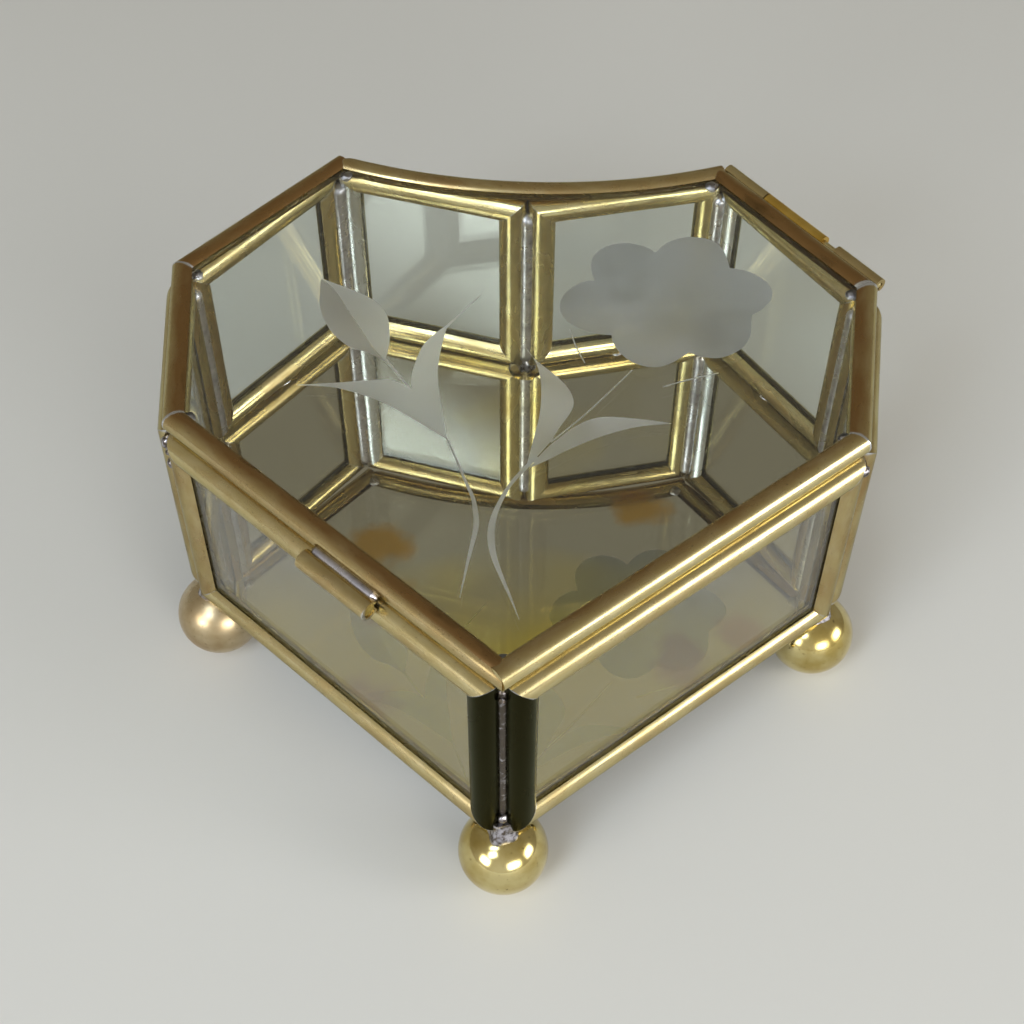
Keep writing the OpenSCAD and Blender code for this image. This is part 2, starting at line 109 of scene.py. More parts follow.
@dataclass(frozen=True)
class Sizes:
    """Sizes that several sub-assemblies share, the same as the solids have."""

    heart: Ring = Ring(
        (
            (0.0, -45.6), (46.6, -6.2), (50.0, 23.0), (30.3, 48.8),
            (0.0, 41.4), (-30.3, 48.8), (-50.0, 23.0), (-46.6, -6.2),
        )
    )
    wall_names: tuple[str, ...] = (
        "front_right", "right", "back_right", "notch_right",
        "notch_left", "back_left", "left", "front_left",
    )
    notch_corner: int = 4
    channel_r: float = 2.2
    seam_gap: float = 0.1
    frame_bottom: float = 13.7
    frame_top: float = 49.2
    lid_r: float = 1.75
    lid_gap: float = 0.25
    # How far inside the heart the lid rails' axes lie: along the front, at the side corners, and
    # at the lobes, from the back wall and from the notch
    lid_front: float = 0.6
    lid_side: float = 0.9
    lid_lobe: float = 2.8
    lid_notch: float = 1.9
    foot_r: float = 6.35
    foot_z: float = 6.25
    foot_inset: float = 1.2
    foot_corners: tuple[int, ...] = (0, 1, 4, 7)

    @property
    def low_z(self) -> float:
        """Height of the lower rails' axis."""
        return self.frame_bottom + self.channel_r

    @property
    def high_z(self) -> float:
        """Height of the upper rails' axis."""
        return self.frame_top - self.channel_r

    @property
    def lid_z(self) -> float:
        """Height of the lid rails' axis."""
        return self.frame_top + self.lid_gap + self.lid_r

    def setback(self, i: int) -> float:
        """Distance along a wall from corner i to its upright channel's axis."""
        return (self.channel_r + self.seam_gap / 2) / math.sin(self.heart.opening(i) / 2)

    def foot_centre(self, i: int) -> Vector:
        """Middle of the ball foot under corner i, in plan."""
        middle = (self.heart.outward(i - 1) + self.heart.outward(i)).normalized()
        return self.heart.at(i) - self.foot_inset * middle

    def lid_ring(self) -> Ring:
        """Axes of the lid's rails, as a ring of seven.

        Returns:
            The ring. Its side 3 is the chord of the curved rail over the notch.
        """
        front, side, lobe, notch = self.lid_front, self.lid_side, self.lid_lobe, self.lid_notch
        insets = (
            (0, front, front), (1, front, side), (2, side, side), (3, lobe, notch),
            (5, notch, lobe), (6, side, side), (7, side, front),
        )
        corners = (self.heart.inset(*row) for row in insets)
        return Ring(tuple((c.x, c.y) for c in corners))


SIZES = Sizes()


# ---------------------------------------------------------------------------------------------
# Shader trees
# ---------------------------------------------------------------------------------------------

Tree = bpy.types.NodeTree
Source = Union[bpy.types.Node, bpy.types.NodeSocket]
# A layer's pattern, where it sets in and is full, the most that it covers, and its hex colour
Layer = tuple[Source, float, float, float, str]


def linear(hex_colour: str) -> tuple[float, float, float, float]:
    """Turns an sRGB hex colour into a linear RGBA value.

    Args:
        hex_colour: Colour as "#RRGGBB".

    Returns:
        Red, green, blue and alpha for a shader socket.
    """
    parts = (int(hex_colour[k : k + 2], 16) / 255 for k in (1, 3, 5))
    r, g, b = (c / 12.92 if c <= 0.04045 else ((c + 0.055) / 1.055) ** 2.4 for c in parts)
    return r, g, b, 1.0


def per_metre(size: float) -> float:
    """Texture scale at which one feature of a noise measures this many millimetres."""
    return 1.0 / (size * MM)


def add_node(
    tree: Tree,
    kind: str,
    settings: dict[str | int, object] | None = None,
    links: dict[str | int, Source] | None = None,
) -> bpy.types.Node:
    """Adds a node with its settings and links.

    Args:
        tree: Tree that takes the node.
        kind: Blender's name for the node type.
        settings: Input values by socket name or number, and other properties by name. "stops"
            gives a colour ramp's places and hex colours.
        links: What feeds the inputs: sockets, or nodes for their first output.

    Returns:
        The new node.
    """
    node = tree.nodes.new(kind)
    for key, value in (settings or {}).items():
        if key == "stops":
            elements = node.color_ramp.elements
            while len(elements) < len(value):
                elements.new(0.5)
            for element, (place, colour) in zip(elements, value):
                element.position, element.color = place, linear(colour)
        elif isinstance(key, int) or key in node.inputs:
            node.inputs[key].default_value = value
        else:
            setattr(node, key, value)
    for key, source in (links or {}).items():
        socket = source.outputs[0] if isinstance(source, bpy.types.Node) else source
        tree.links.new(socket, node.inputs[key])
    return node


def layered(tree: Tree, base: str, layers: Sequence[Layer]) -> Source:
    """Lays colours over a base, each where its pattern is strong.

    Args:
        tree: Tree that takes the nodes.
        base: Hex colour under them all.
        layers: The layers, from the lowest up.

    Returns:
        The colour that shows.
    """
    under: dict[str | int, Source] = {}
    for pattern, low, high, most, colour in layers:
        share = add_node(
            tree, "ShaderNodeMapRange", {"From Min": low, "From Max": high, "To Max": most},
            {"Value": pattern},
        )
        mixed = add_node(
            tree, "ShaderNodeMix", {"data_type": "RGBA", 6: linear(base), 7: linear(colour)},
            {0: share, **under},
        )
        under = {6: mixed.outputs[2]}
    return under[6]


def bare_metal(
    tree: Tree,
    colour: Source,
    dulled: tuple[Source, float, float],
    roughness: tuple[float, float],
    relief: Source,
    bump: tuple[float, float],
    edge: str = "#FFFFFF",
) -> Source:
    """Shades a bare metal with uneven gloss and fine relief.

    Args:
        tree: Tree that takes the nodes.
        colour: The metal's colour.
        dulled: Pattern that dulls it, and where that sets in and is full.
        roughness: Roughness where it is bright and where it is dull.
        relief: Pattern that raises and pits it.
        bump: Strength of the relief and its depth in millimetres.
        edge: Hex tint at grazing angles.

    Returns:
        The metal's shader.
    """
    pattern, low, high = dulled
    gloss = add_node(
        tree, "ShaderNodeMapRange",
        {"From Min": low, "From Max": high, "To Min": roughness[0], "To Max": roughness[1]},
        {"Value": pattern},
    )
    raised = add_node(
        tree, "ShaderNodeBump", {"Strength": bump[0], "Distance": bump[1] * MM},
        {"Height": relief},
    )
    return add_node(
        tree, "ShaderNodeBsdfPrincipled", {"Metallic": 1.0, "Specular Tint": linear(edge)},
        {"Base Color": colour, "Roughness": gloss, "Normal": raised},
    )


def passed_by_lamps(tree: Tree, glass: Source, tint: str) -> Source:
    """Lets lamplight straight through a pane to what it shuts in.

    Args:
        tree: Tree that takes the nodes.
        glass: Shader that every other ray meets.
        tint: Hex colour that the pane gives the lamplight.

    Returns:
        The pane's shader.
    """
    clear = add_node(tree, "ShaderNodeBsdfTransparent", {"Color": linear(tint)})
    lamp = add_node(tree, "ShaderNodeLightPath").outputs["Is Shadow Ray"]
    return add_node(tree, "ShaderNodeMixShader", {}, {0: lamp, 1: glass, 2: clear})


class Finish:
    """A surface finish; each kind fills in paint()."""

    name = "finish"

    def material(self) -> bpy.types.Material:
        """Gives the finish's material, and makes it the first time.

        Returns:
            The material, shared by all pieces of this finish.
        """
        known = bpy.data.materials.get(self.name)
        if known is not None:
            return known
        made = bpy.data.materials.new(self.name)
        made.use_nodes = True
        tree = made.node_tree
        tree.nodes.clear()
        add_node(tree, "ShaderNodeOutputMaterial", {}, {"Surface": self.paint(tree)})
        return made

    def paint(self, tree: Tree) -> Source:
        """Builds the finish's shader in a tree and gives it."""
        raise NotImplementedError


@dataclass(frozen=True)
class AgedBrass(Finish):
    """Rolled brass channel, unlacquered: gold browned in soft patches, pitted, tinned at joints,
    and laid near-black olive where most aged, which is painted dark reflection.
    """

    name: str = "rolled_brass_aged"
    metal: str = "#C9B986"
    pale: str = "#E3DAB4"
    brown: str = "#946F44"
    # Near-black olive laid where the metal is most aged: on the uprights at the front point it is
    # painted dark reflection
    olive: str = "#221F0C"
    # Tint at grazing angles, where patina dims bright metal
    edge: str = "#DDDFD2"
    tin: str = "#D8DADF"
    pit: str = "#3F3520"
    roughness: tuple[float, float] = (0.2, 0.35)
    # Length and width of a patch of patina and of a rubbed place
    patch: tuple[float, float] = (9.0, 4.0)
    rub: tuple[float, float] = (3.2, 1.4)
    mottle: float = 0.9
    grain: float = 0.3

    def paint(self, tree: Tree) -> Source:
        """Builds the brass, its patina and the tin that ran out of the joints.

        Args:
            tree: Tree that takes the nodes.

        Returns:
            The shader.
        """
        place = add_node(tree, "ShaderNodeTexCoord").outputs["Object"]
        strip, age, tinned = (
            add_node(tree, "ShaderNodeAttribute", {"attribute_name": name}).outputs[output]
            for name, output in (("strip", "Vector"), ("age", "Fac"), ("tin", "Fac"))
        )
        # Patches and rubbed places are drawn out along the strip
        drawn_out = (
            add_node(
                tree, "ShaderNodeMapping", {"Scale": (1 / long, 1 / wide, 1.0)}, {"Vector": strip}
            )
            for long, wide in (self.patch, self.rub)
        )
        patches, worn = (
            add_node(
                tree, "ShaderNodeTexNoise", {"Scale": 1.0, "Detail": detail}, {"Vector": spread}
            )
            for spread, detail in zip(drawn_out, (3.0, 4.0))
        )
        mottles, grain = (
            add_node(
                tree, "ShaderNodeTexNoise", {"Scale": per_metre(size), "Detail": detail},
                {"Vector": place},
            )
            for size, detail in ((self.mottle, 3.0), (self.grain, 2.0))
        )
        aged, ragged, relief = (
            add_node(
                tree, "ShaderNodeMath", {"operation": "MULTIPLY_ADD", 1: share},
                {0: pattern, 2: added},
            )
            for pattern, share, added in (
                (patches, 0.9, age), (mottles, 0.6, tinned), (grain, 0.25, worn)
            )
        )
        colour = layered(tree, self.metal, (
            (worn, 0.42, 0.75, 0.45, self.pale),
            (aged, 0.5, 1.05, 0.9, self.brown),
            # Painted dark reflection: near-black olive over the most aged metal
            (aged, 1.2, 1.5, 1.0, self.olive),
            (grain, 0.66, 0.74, 0.55, self.pit),
            (ragged, 0.75, 1.05, 1.0, self.tin),
        ))
        dulled = (patches, 0.35, 0.75)
        return bare_metal(tree, colour, dulled, self.roughness, relief, (0.025, 0.03), self.edge)


@dataclass(frozen=True)
class SolidBrass(Finish):
    """Turned solid brass, polished or left satin, with a yellowed skin and small brown specks."""

    name: str = "turned_brass_polished"
    metal: str = "#DACB93"
    skin: str = "#BCA764"
    speck: str = "#5E4F2C"
    roughness: tuple[float, float] = (0.09, 0.2)
    cloud: float = 4.0
    grain: float = 0.5

    def paint(self, tree: Tree) -> Source:
        """Builds the brass with its skin and specks.

        Args:
            tree: Tree that takes the nodes.

        Returns:
            The shader.
        """
        place = add_node(tree, "ShaderNodeTexCoord").outputs["Object"]
        clouds, grain = (
            add_node(
                tree, "ShaderNodeTexNoise", {"Scale": per_metre(size), "Detail": detail},
                {"Vector": place},
            )
            for size, detail in ((self.cloud, 3.0), (self.grain, 2.0))
        )
        colour = layered(tree, self.metal, (
            (clouds, 0.35, 0.65, 1.0, self.skin), (grain, 0.68, 0.76, 0.7, self.speck),
        ))
        return bare_metal(tree, colour, (clouds, 0.3, 0.7), self.roughness, grain, (0.12, 0.03))


@dataclass(frozen=True)
class TinSolder(Finish):
    """Tin-lead solder as it set: smooth lilac silver, brown with flux where it is aged."""

    name: str = "tin_lead_solder"
    metal: str = "#CCC9D2"
    dull: str = "#98959B"
    flux: str = "#463B2A"
    roughness: tuple[float, float] = (0.24, 0.42)
    crystal: float = 2.2
    pit: float = 0.6

    def paint(self, tree: Tree) -> Source:
        """Builds the solder with its dull crystals and flux stain.

        Args:
            tree: Tree that takes the nodes.

        Returns:
            The shader.
        """
        place = add_node(tree, "ShaderNodeTexCoord").outputs["Object"]
        crystals, pits = (
            add_node(
                tree, "ShaderNodeTexNoise", {"Scale": per_metre(size), "Detail": detail},
                {"Vector": place},
            )
            for size, detail in ((self.crystal, 4.0), (self.pit, 3.0))
        )
        age = add_node(tree, "ShaderNodeAttribute", {"attribute_name": "age"}).outputs["Fac"]
        stained = add_node(
            tree, "ShaderNodeMath", {"operation": "MULTIPLY_ADD", 1: 0.42}, {0: age, 2: pits}
        )
        colour = layered(tree, self.metal, (
            (crystals, 0.42, 0.7, 1.0, self.dull), (stained, 0.62, 0.84, 0.92, self.flux),
        ))
        return bare_metal(tree, colour, (crystals, 0.35, 0.7), self.roughness, pits, (0.1, 0.07))


@dataclass(frozen=True)
class FloatGlass(Finish):
    """Clear float glass, cut to shape: faintly green, with a trace of smear. Lamps pass it."""

    name: str = "float_glass_clear"
    tint: str = "#F4F8F5"
    passed: str = "#F7F8F7"
    smear_size: float = 11.0
    smear: float = 0.03
    ior: float = 1.5

    def paint(self, tree: Tree) -> Source:
        """Builds the glass and its smears.

        Args:
            tree: Tree that takes the nodes.

        Returns:
            The shader.
        """
        place = add_node(tree, "ShaderNodeTexCoord").outputs["Object"]
        smears = add_node(
            tree, "ShaderNodeTexNoise", {"Scale": per_metre(self.smear_size), "Detail": 5.0},
            {"Vector": place},
        )
        roughness = add_node(
            tree, "ShaderNodeMapRange", {"From Min": 0.55, "From Max": 0.8, "To Max": self.smear},
            {"Value": smears},
        )
        glass = add_node(
            tree, "ShaderNodeBsdfPrincipled",
            {"Base Color": linear(self.tint), "Transmission Weight": 1.0, "IOR": self.ior},
            {"Roughness": roughness},
        )
        return passed_by_lamps(tree, glass, self.passed)


@dataclass(frozen=True)
class SandblastedGlass(Finish):
    """Glass blasted through a stencil: an even white frost that blurs what lies behind it."""

    name: str = "sandblasted_glass"
    frost: str = "#E4E6E4"
    passed: str = "#DDDDDD"
    drift: float = 7.0
    # Grit of a tenth of a millimetre, drawn coarser so that it shows
    grit: float = 0.35
    roughness: float = 0.36
    ior: float = 1.5

    def paint(self, tree: Tree) -> Source:
        """Builds the frost, a little thinner in places.

        Args:
            tree: Tree that takes the nodes.

        Returns:
            The shader.
        """
        place = add_node(tree, "ShaderNodeTexCoord").outputs["Object"]
        drifts, grit = (
            add_node(
                tree, "ShaderNodeTexNoise", {"Scale": per_metre(size), "Detail": detail},
                {"Vector": place},
            )
            for size, detail in ((self.drift, 3.0), (self.grit, 2.0))
        )
        clear_share = add_node(
            tree, "ShaderNodeMapRange",
            {"From Min": 0.35, "From Max": 0.65, "To Min": 0.86, "To Max": 0.94},
            {"Value": drifts},
        )
        raised = add_node(
            tree, "ShaderNodeBump", {"Strength": 0.3, "Distance": 0.02 * MM}, {"Height": grit}
        )
        frosted = add_node(
            tree, "ShaderNodeBsdfPrincipled",
            {"Base Color": linear(self.frost), "Roughness": self.roughness, "IOR": self.ior},
            {"Transmission Weight": clear_share, "Normal": raised},
        )
        return passed_by_lamps(tree, frosted, self.passed)


@dataclass(frozen=True)
class SilveredGlass(Finish):
    """Float glass silvered and laid face up: a mirror with warm amber blots; its back is painted.
    """

    name: str = "silvered_float_glass"
    silver: str = "#C8C2B2"
    amber_colour: str = "#CDA24A"
    olive: str = "#E8D364"
    back: str = "#4A4D4C"
    face_z: float = 13.5
    ragged: float = 4.5
    haze: float = 22.0
    # Where the yellowing sets in and is full, measured from behind to the front point
    yellowed: tuple[float, float] = (4.0, -16.0)
    # Amber blots: sideways, back and radius
    blots: tuple[tuple[float, float, float], ...] = (
        (-21.2, 2.1, 4.4), (-18.3, -7.6, 3.6), (19.2, 10.9, 3.8), (23.6, -15.6, 4.4),
        (-20.0, -25.2, 4.2), (33.0, -10.0, 3.4),
    )
    # How far a blot fades out past its radius
    fade: float = 1.7
    # Where the blots' sum sets in and is full, and the most that it covers
    spread: tuple[float, float, float] = (0.75, 1.15, 0.95)
    # Roughness of clear silver and of the middle of a blot
    roughness: tuple[float, float] = (0.015, 0.08625)

    def paint(self, tree: Tree) -> Source:
        """Builds the mirror face, its amber blots and the painted back and edges.

        Args:
            tree: Tree that takes the nodes.

        Returns:
            The shader.
        """
        place = add_node(tree, "ShaderNodeTexCoord").outputs["Object"]
        ragged, haze = (
            add_node(
                tree, "ShaderNodeTexNoise", {"Scale": per_metre(size), "Detail": detail},
                {"Vector": place},
            )
            for size, detail in ((self.ragged, 3.0), (self.haze, 2.0))
        )
        split = add_node(tree, "ShaderNodeSeparateXYZ", {}, {"Vector": place})
        start, full = self.yellowed
        forward = add_node(
            tree, "ShaderNodeMapRange", {"From Min": start * MM, "From Max": full * MM},
            {"Value": split.outputs["Y"]},
        )
        uneven = add_node(
            tree, "ShaderNodeMath", {"operation": "MULTIPLY_ADD", 1: 1.6}, {0: haze, 2: forward}
        )
        amber_blots = self.amber_blots(tree, place, ragged)
        low, high, most = self.spread
        colour = layered(tree, self.silver, (
            (uneven, 0.9, 1.75, 1.0, self.olive), (amber_blots, low, high, most, self.amber_colour),
        ))
        clear, dull = self.roughness
        gloss = add_node(
            tree, "ShaderNodeMapRange",
            {"From Min": low, "From Max": high, "To Min": clear, "To Max": dull},
            {"Value": amber_blots},
        )
        face = add_node(
            tree, "ShaderNodeBsdfPrincipled", {"Metallic": 1.0},
            {"Base Color": colour, "Roughness": gloss},
        )
        paint = add_node(
            tree, "ShaderNodeBsdfPrincipled", {"Base Color": linear(self.back), "Roughness": 0.6}
        )
        is_face = add_node(
            tree, "ShaderNodeMath", {"operation": "GREATER_THAN", 1: self.face_z * MM},
            {0: split.outputs["Z"]},
        )
        return add_node(tree, "ShaderNodeMixShader", {}, {0: is_face, 1: paint, 2: face})

    def amber_blots(self, tree: Tree, place: Source, ragged: Source) -> Source:
        """Soft ragged blots where damp crept under the silver.

        Args:
            Soft ragged amber blots at the listed places.
            place: Place on the mirror.
            ragged: Noise that breaks the edges up.

        Returns:
            The blots' strength, with the noise added.
        """
        total: Source | None = None
        for x, y, r in self.blots:
            away = add_node(
                tree, "ShaderNodeVectorMath",
                {"operation": "DISTANCE", 1: (x * MM, y * MM, self.face_z * MM)}, {0: place},
            ).outputs["Value"]
            near = add_node(
                tree, "ShaderNodeMapRange", {"From Min": self.fade * r * MM, "From Max": 0.0},
                {"Value": away},
            )
            total = near if total is None else add_node(
                tree, "ShaderNodeMath", {"operation": "MAXIMUM"}, {0: total, 1: near}
            )
        return add_node(tree, "ShaderNodeMath", {"operation": "ADD"}, {0: total, 1: ragged})


@dataclass(frozen=True)
class TablePaper(Finish):
    """Matt pale paper laid under the box."""

    name: str = "table_paper"
    colour: str = "#D6D6D3"
    cloudy: str = "#C8C8C4"
    cloud: float = 90.0
    roughness: float = 0.8

    def paint(self, tree: Tree) -> Source:
        """Builds the paper with a faint cloudiness.

        Args:
            tree: Tree that takes the nodes.

        Returns:
            The shader.
        """
        place = add_node(tree, "ShaderNodeTexCoord").outputs["Object"]
        clouds = add_node(
            tree, "ShaderNodeTexNoise", {"Scale": per_metre(self.cloud), "Detail": 2.0},
            {"Vector": place},
        )
        colour = layered(tree, self.colour, ((clouds, 0.0, 1.0, 0.15, self.cloudy),))
        return add_node(
            tree, "ShaderNodeBsdfPrincipled", {"Roughness": self.roughness},
            {"Base Color": colour},
        )


# ---------------------------------------------------------------------------------------------
# Mesh building
# ---------------------------------------------------------------------------------------------


class Ends(Enum):
    """How a skinned form is closed at its two ends."""

    LIPPED = "lipped"
    FAN = "fan"


@dataclass
class Form:
    """Vertices and faces of one piece, in millimetres, with what its finish reads off them."""

    verts: list[Vector] = field(default_factory=list)
    faces: list[tuple[int, ...]] = field(default_factory=list)
    strip: list[Vector] = field(default_factory=list)
    tin: list[float] = field(default_factory=list)
    age: list[float] = field(default_factory=list)

    def add(self, p: Vector, strip: Vector, tin: float, age: float) -> None:
        """Adds one vertex.

        Args:
            p: Where it is.
            strip: Place along and round the strip, and a number for the form.
            tin: Its share of tin.
            age: How aged it is.
        """
        self.verts.append(p)
        self.strip.append(strip)
        self.tin.append(tin)
        self.age.append(age)

    def skin(
        self,
        rows: Sequence[Sequence[Vector]],
        ends: Ends,
        tins: Sequence[Sequence[float]] | None = None,
        age: float | Sequence[float] = 0.0,
        seed: float = 0.0,
    ) -> None:
        """Skins rows of points that each close on themselves.

        Args:
            rows: Sections from one end to the other, with as many points each.
            ends: How the first and last section are closed.
            tins: Share of tin at each point, or None for none.
            age: How aged the form is, all over or at each point of a section.
            seed: Number that sets this form's patches apart from the next one's.
        """
        first, n = len(self.verts), len(rows[0])
        run = 0.0
        for j, row in enumerate(rows):
            if j:
                run += (row[0] - rows[j - 1][0]).length
            girth = 0.0
            for k, p in enumerate(row):
                girth += (p - row[k - 1]).length if k else 0.0
                worn = age if isinstance(age, (int, float)) else age[k]
                self.add(p, Vector((run, girth, seed)), tins[j][k] if tins else 0.0, worn)
        for j in range(len(rows) - 1):
            a, b = first + j * n, first + (j + 1) * n
            for k in range(n):
                k2 = (k + 1) % n
                self.faces.append((a + k, a + k2, b + k2, b + k))
        last = first + (len(rows) - 1) * n
        if ends is Ends.FAN:
            self.faces.append(tuple(first + k for k in reversed(range(n))))
            self.faces.append(tuple(last + k for k in range(n)))
        elif ends is Ends.LIPPED:
            half = n // 2
            for base, flip in ((first, True), (last, False)):
                for k in range(half - 2):
                    quad = (base + k, base + k + 1, base + n - 3 - k, base + n - 2 - k)
                    self.faces.append(tuple(reversed(quad)) if flip else quad)
                for tri in (
                    (base + n - 1, base, base + n - 2),
                    (base + half - 2, base + half - 1, base + half),
                ):
                    self.faces.append(tuple(reversed(tri)) if flip else tri)

    def piece(
        self, name: str, body: str, slot: str, nodes: Sequence[str], finish: Finish,
        crease: float = 40.0,
    ) -> bpy.types.Object:
        """Turns the form into a piece of the scene.

        Args:
            name: The piece's name.
            body: CAD body that it rides on.
            slot: Material slot of the record; not used.
            nodes: CAD nodes that it stands for.
            finish: What it is finished in.
            crease: Angle in degrees from which an edge is drawn sharp.

        Returns:
            The new object.
        """
        mesh = bpy.data.meshes.new(name)
        mesh.from_pydata([v * MM for v in self.verts], [], self.faces)
        mesh.validate()
        mesh.shade_smooth()
        mesh.set_sharp_from_angle(angle=math.radians(crease))
        flat = [c for s in self.strip for c in s]
        mesh.attributes.new("strip", "FLOAT_VECTOR", "POINT").data.foreach_set("vector", flat)
        mesh.attributes.new("tin", "FLOAT", "POINT").data.foreach_set("value", self.tin)
        mesh.attributes.new("age", "FLOAT", "POINT").data.foreach_set("value", self.age)
        mesh.materials.append(finish.material())
        made = bpy.data.objects.new(name, mesh)
        bpy.context.scene.collection.objects.link(made)
        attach(made, body)
        if nodes:
            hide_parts(*nodes)
        LOG.info("%s: %d faces on %s", name, len(mesh.polygons), body)
        return made


def wander(x: float, seed: float, size: float) -> float:
    """Hand-made unevenness.

    Args:
        x: Place along the work.
        seed: Number that sets one piece apart from the next.
        size: Length over which it changes.

    Returns:
        A smooth value between about -1 and 1.
    """
    # The odd steps keep the noises of neighbouring seeds apart
    return noise.noise(Vector((x / size, seed * 7.31, seed * 3.17)))


@dataclass(frozen=True)
class Channel:
    """Round channel rolled from thin strip, open along one side."""

    diameter: float
    metal: float
    slot: float
    # Number of steps round the section
    steps: int = 34
    # Length over which the tin of a joint fades
    tin_reach: float = 0.35
    # How much browner the side that is up and towards the slot is made
    slot_top_browning: float = 0.0
    # Distances of the sections nearest an end, and between those further on
    near_ends: tuple[float, ...] = (0.0, 0.12, 0.3, 0.55, 0.9, 1.4)
    spacing: float = 1.5
    # How far the hand-drawn axis strays, and the length over which it does
    sway: float = 0.04
    sway_length: float = 16.0
    # Length over which a pinched end narrows
    pinch_length: float = 2.2
    # Share of the radius behind the axis from which tin clings to the back
    tin_back: float = 0.35

    def stations(self, total: float) -> list[tuple[float, float]]:
        """Places of the sections along a length, closer together at its ends.

        Args:
            total: The length.

        Returns:
            Each place as a share of the length and a distance past it.
        """
        last = self.near_ends[-1]
        count = max(2, round((total - 2 * last) / self.spacing))
        middle = [(k / count, last * (1 - 2 * k / count)) for k in range(1, count)]
        back = [(1.0, -d) for d in reversed(self.near_ends)]
        return [(0.0, d) for d in self.near_ends] + middle + back

    def section(self) -> list[Point]:
        """Outline of the section: round outside, round inside, with a rounded lip at the slot.

        Returns:
            Its points, as distances towards the slot and across it.
        """
        outer, inner, half = self.diameter / 2, self.diameter / 2 - self.metal, self.slot / 2
        lip = 0.25 * self.metal / outer
        points: list[Point] = []
        start = math.asin(half / outer) + lip
        for k in range(self.steps + 1):
            angle = start + (2 * math.pi - 2 * start) * k / self.steps
            points.append((outer * math.cos(angle), outer * math.sin(angle)))
        middle = (outer + inner) / 2
        reach = math.sqrt(middle * middle - half * half)
        points.append((reach, -half))
        start = math.asin(half / inner) + lip
        for k in reversed(range(self.steps + 1)):
            angle = start + (2 * math.pi - 2 * start) * k / self.steps
            points.append((inner * math.cos(angle), inner * math.sin(angle)))
        points.append((reach, half))
        return points

    def length(
        self,
        form: Form,
        start: Vector,
        end: Vector,
        slot_way: Vector,
        cuts: tuple[Cut, Cut],
        age: float = 0.0,
        tin: tuple[float, float] = (0.0, 0.0),
        tin_behind: float = 0.0,
        coat: float = 0.0,
        pinch: float = 0.0,
        seed: float = 0.0,
    ) -> None:
        """Lays one straight length.

        Args:
            form: Form that takes it.
            start: Where its axis starts.
            end: Where its axis ends.
            slot_way: Direction that the slot faces.
            cuts: How far each end stops short, for a point of the section.
            age: How aged it is.
            tin: Shares of tin at its two ends.
            tin_behind: Share of tin on the side away from the slot.
            coat: Share of tin on its side towards the inside of the box.
            pinch: Share of its girth that its far end loses.
            seed: Number that sets it apart from the next length.
        """
        way = (end - start).normalized()
        across = way.cross(slot_way)
        total = (end - start).length
        r = self.diameter / 2
        section = self.section()
        rows, tins = [], []
        for t, past in self.stations(total):
            hold = math.sin(math.pi * min(1.0, max(0.0, t + past / total)))
            sway = self.sway * hold * wander(t * total, seed, self.sway_length)
            lift = self.sway * hold * wander(t * total, seed + 0.5, self.sway_length)
            row, tin_row = [], []
            for a, b in section:
                x0, x1 = cuts[0](a, b), total - cuts[1](a, b)
                x = x0 + (x1 - x0) * t + past
                girth = 1 - pinch * math.exp(-(((total - x) / self.pinch_length) ** 2))
                row.append(
                    start + way * x + slot_way * (a * girth + sway) + across * (b * girth + lift)
                )
                behind = max(0.0, -a / r - self.tin_back) / (1 - self.tin_back)
                inside = min(1.0, max(0.0, 0.5 - b / r))
                ends = tin[0] * math.exp((x0 - x) / self.tin_reach)
                ends += tin[1] * math.exp((x - x1) / self.tin_reach)
                tin_row.append(ends + tin_behind * behind + coat * inside)
            rows.append(row)
            tins.append(tin_row)
        ages = [age + self.slot_top_browning * max(0.0, (a + b) / (math.sqrt(2) * r)) for a, b in section]
        form.skin(rows, Ends.LIPPED, tins, ages, seed)


def square(extra: float = 0.0) -> Cut:
    """An end cut square, standing out by the length given."""
    return lambda a, b: -extra


def mitre(angle: float, play: float = 0.015) -> Cut:
    """An end cut along the line that halves a corner's angle, in radians."""
    slope = 1.0 / math.tan(angle / 2)
    return lambda a, b: a * slope + play


def coped(way_in: Vector, slot_way: Vector, out: Vector, radius: float) -> Cut:
    """An end fitted round another channel that passes its corner.

    Args:
        way_in: Direction from the corner into the length that is cut.
        slot_way: Direction that its slot faces.
        out: Direction out of the lid, square to the other channel.
        radius: The other channel's radius with its fitting gap.

    Returns:
        The cut.
    """
    return lambda a, b: (
        -math.sqrt(max(0.0, radius * radius - b * b)) - a * slot_way.dot(out)
    ) / way_in.dot(out)


def lump(
    form: Form, centre: Vector, radii: Vector, seed: float, rough: float = 0.12, age: float = 0.2
) -> None:
    """Adds a small uneven blob.

    Args:
        form: Form that takes it.
        centre: Its middle.
        radii: Its half sizes along X, Y and Z.
        seed: Number that sets it apart from the next.
        rough: How uneven it is, as a share of its size.
        age: How stained it is.
    """
    rows = []
    rings, around = 14, 22
    for j in range(1, rings):
        polar = math.pi * j / rings
        row = []
        for k in range(around):
            turn = 2 * math.pi * k / around
            ring = math.sin(polar)
            d = Vector((ring * math.cos(turn), ring * math.sin(turn), -math.cos(polar)))
            swell = 1 + rough * noise.noise(d * 1.7 + Vector((seed * 5.3, seed * 2.9, seed)))
            row.append(centre + Vector((d.x * radii.x, d.y * radii.y, d.z * radii.z)) * swell)
        rows.append(row)
    form.skin(rows, Ends.FAN, age=age, seed=seed)


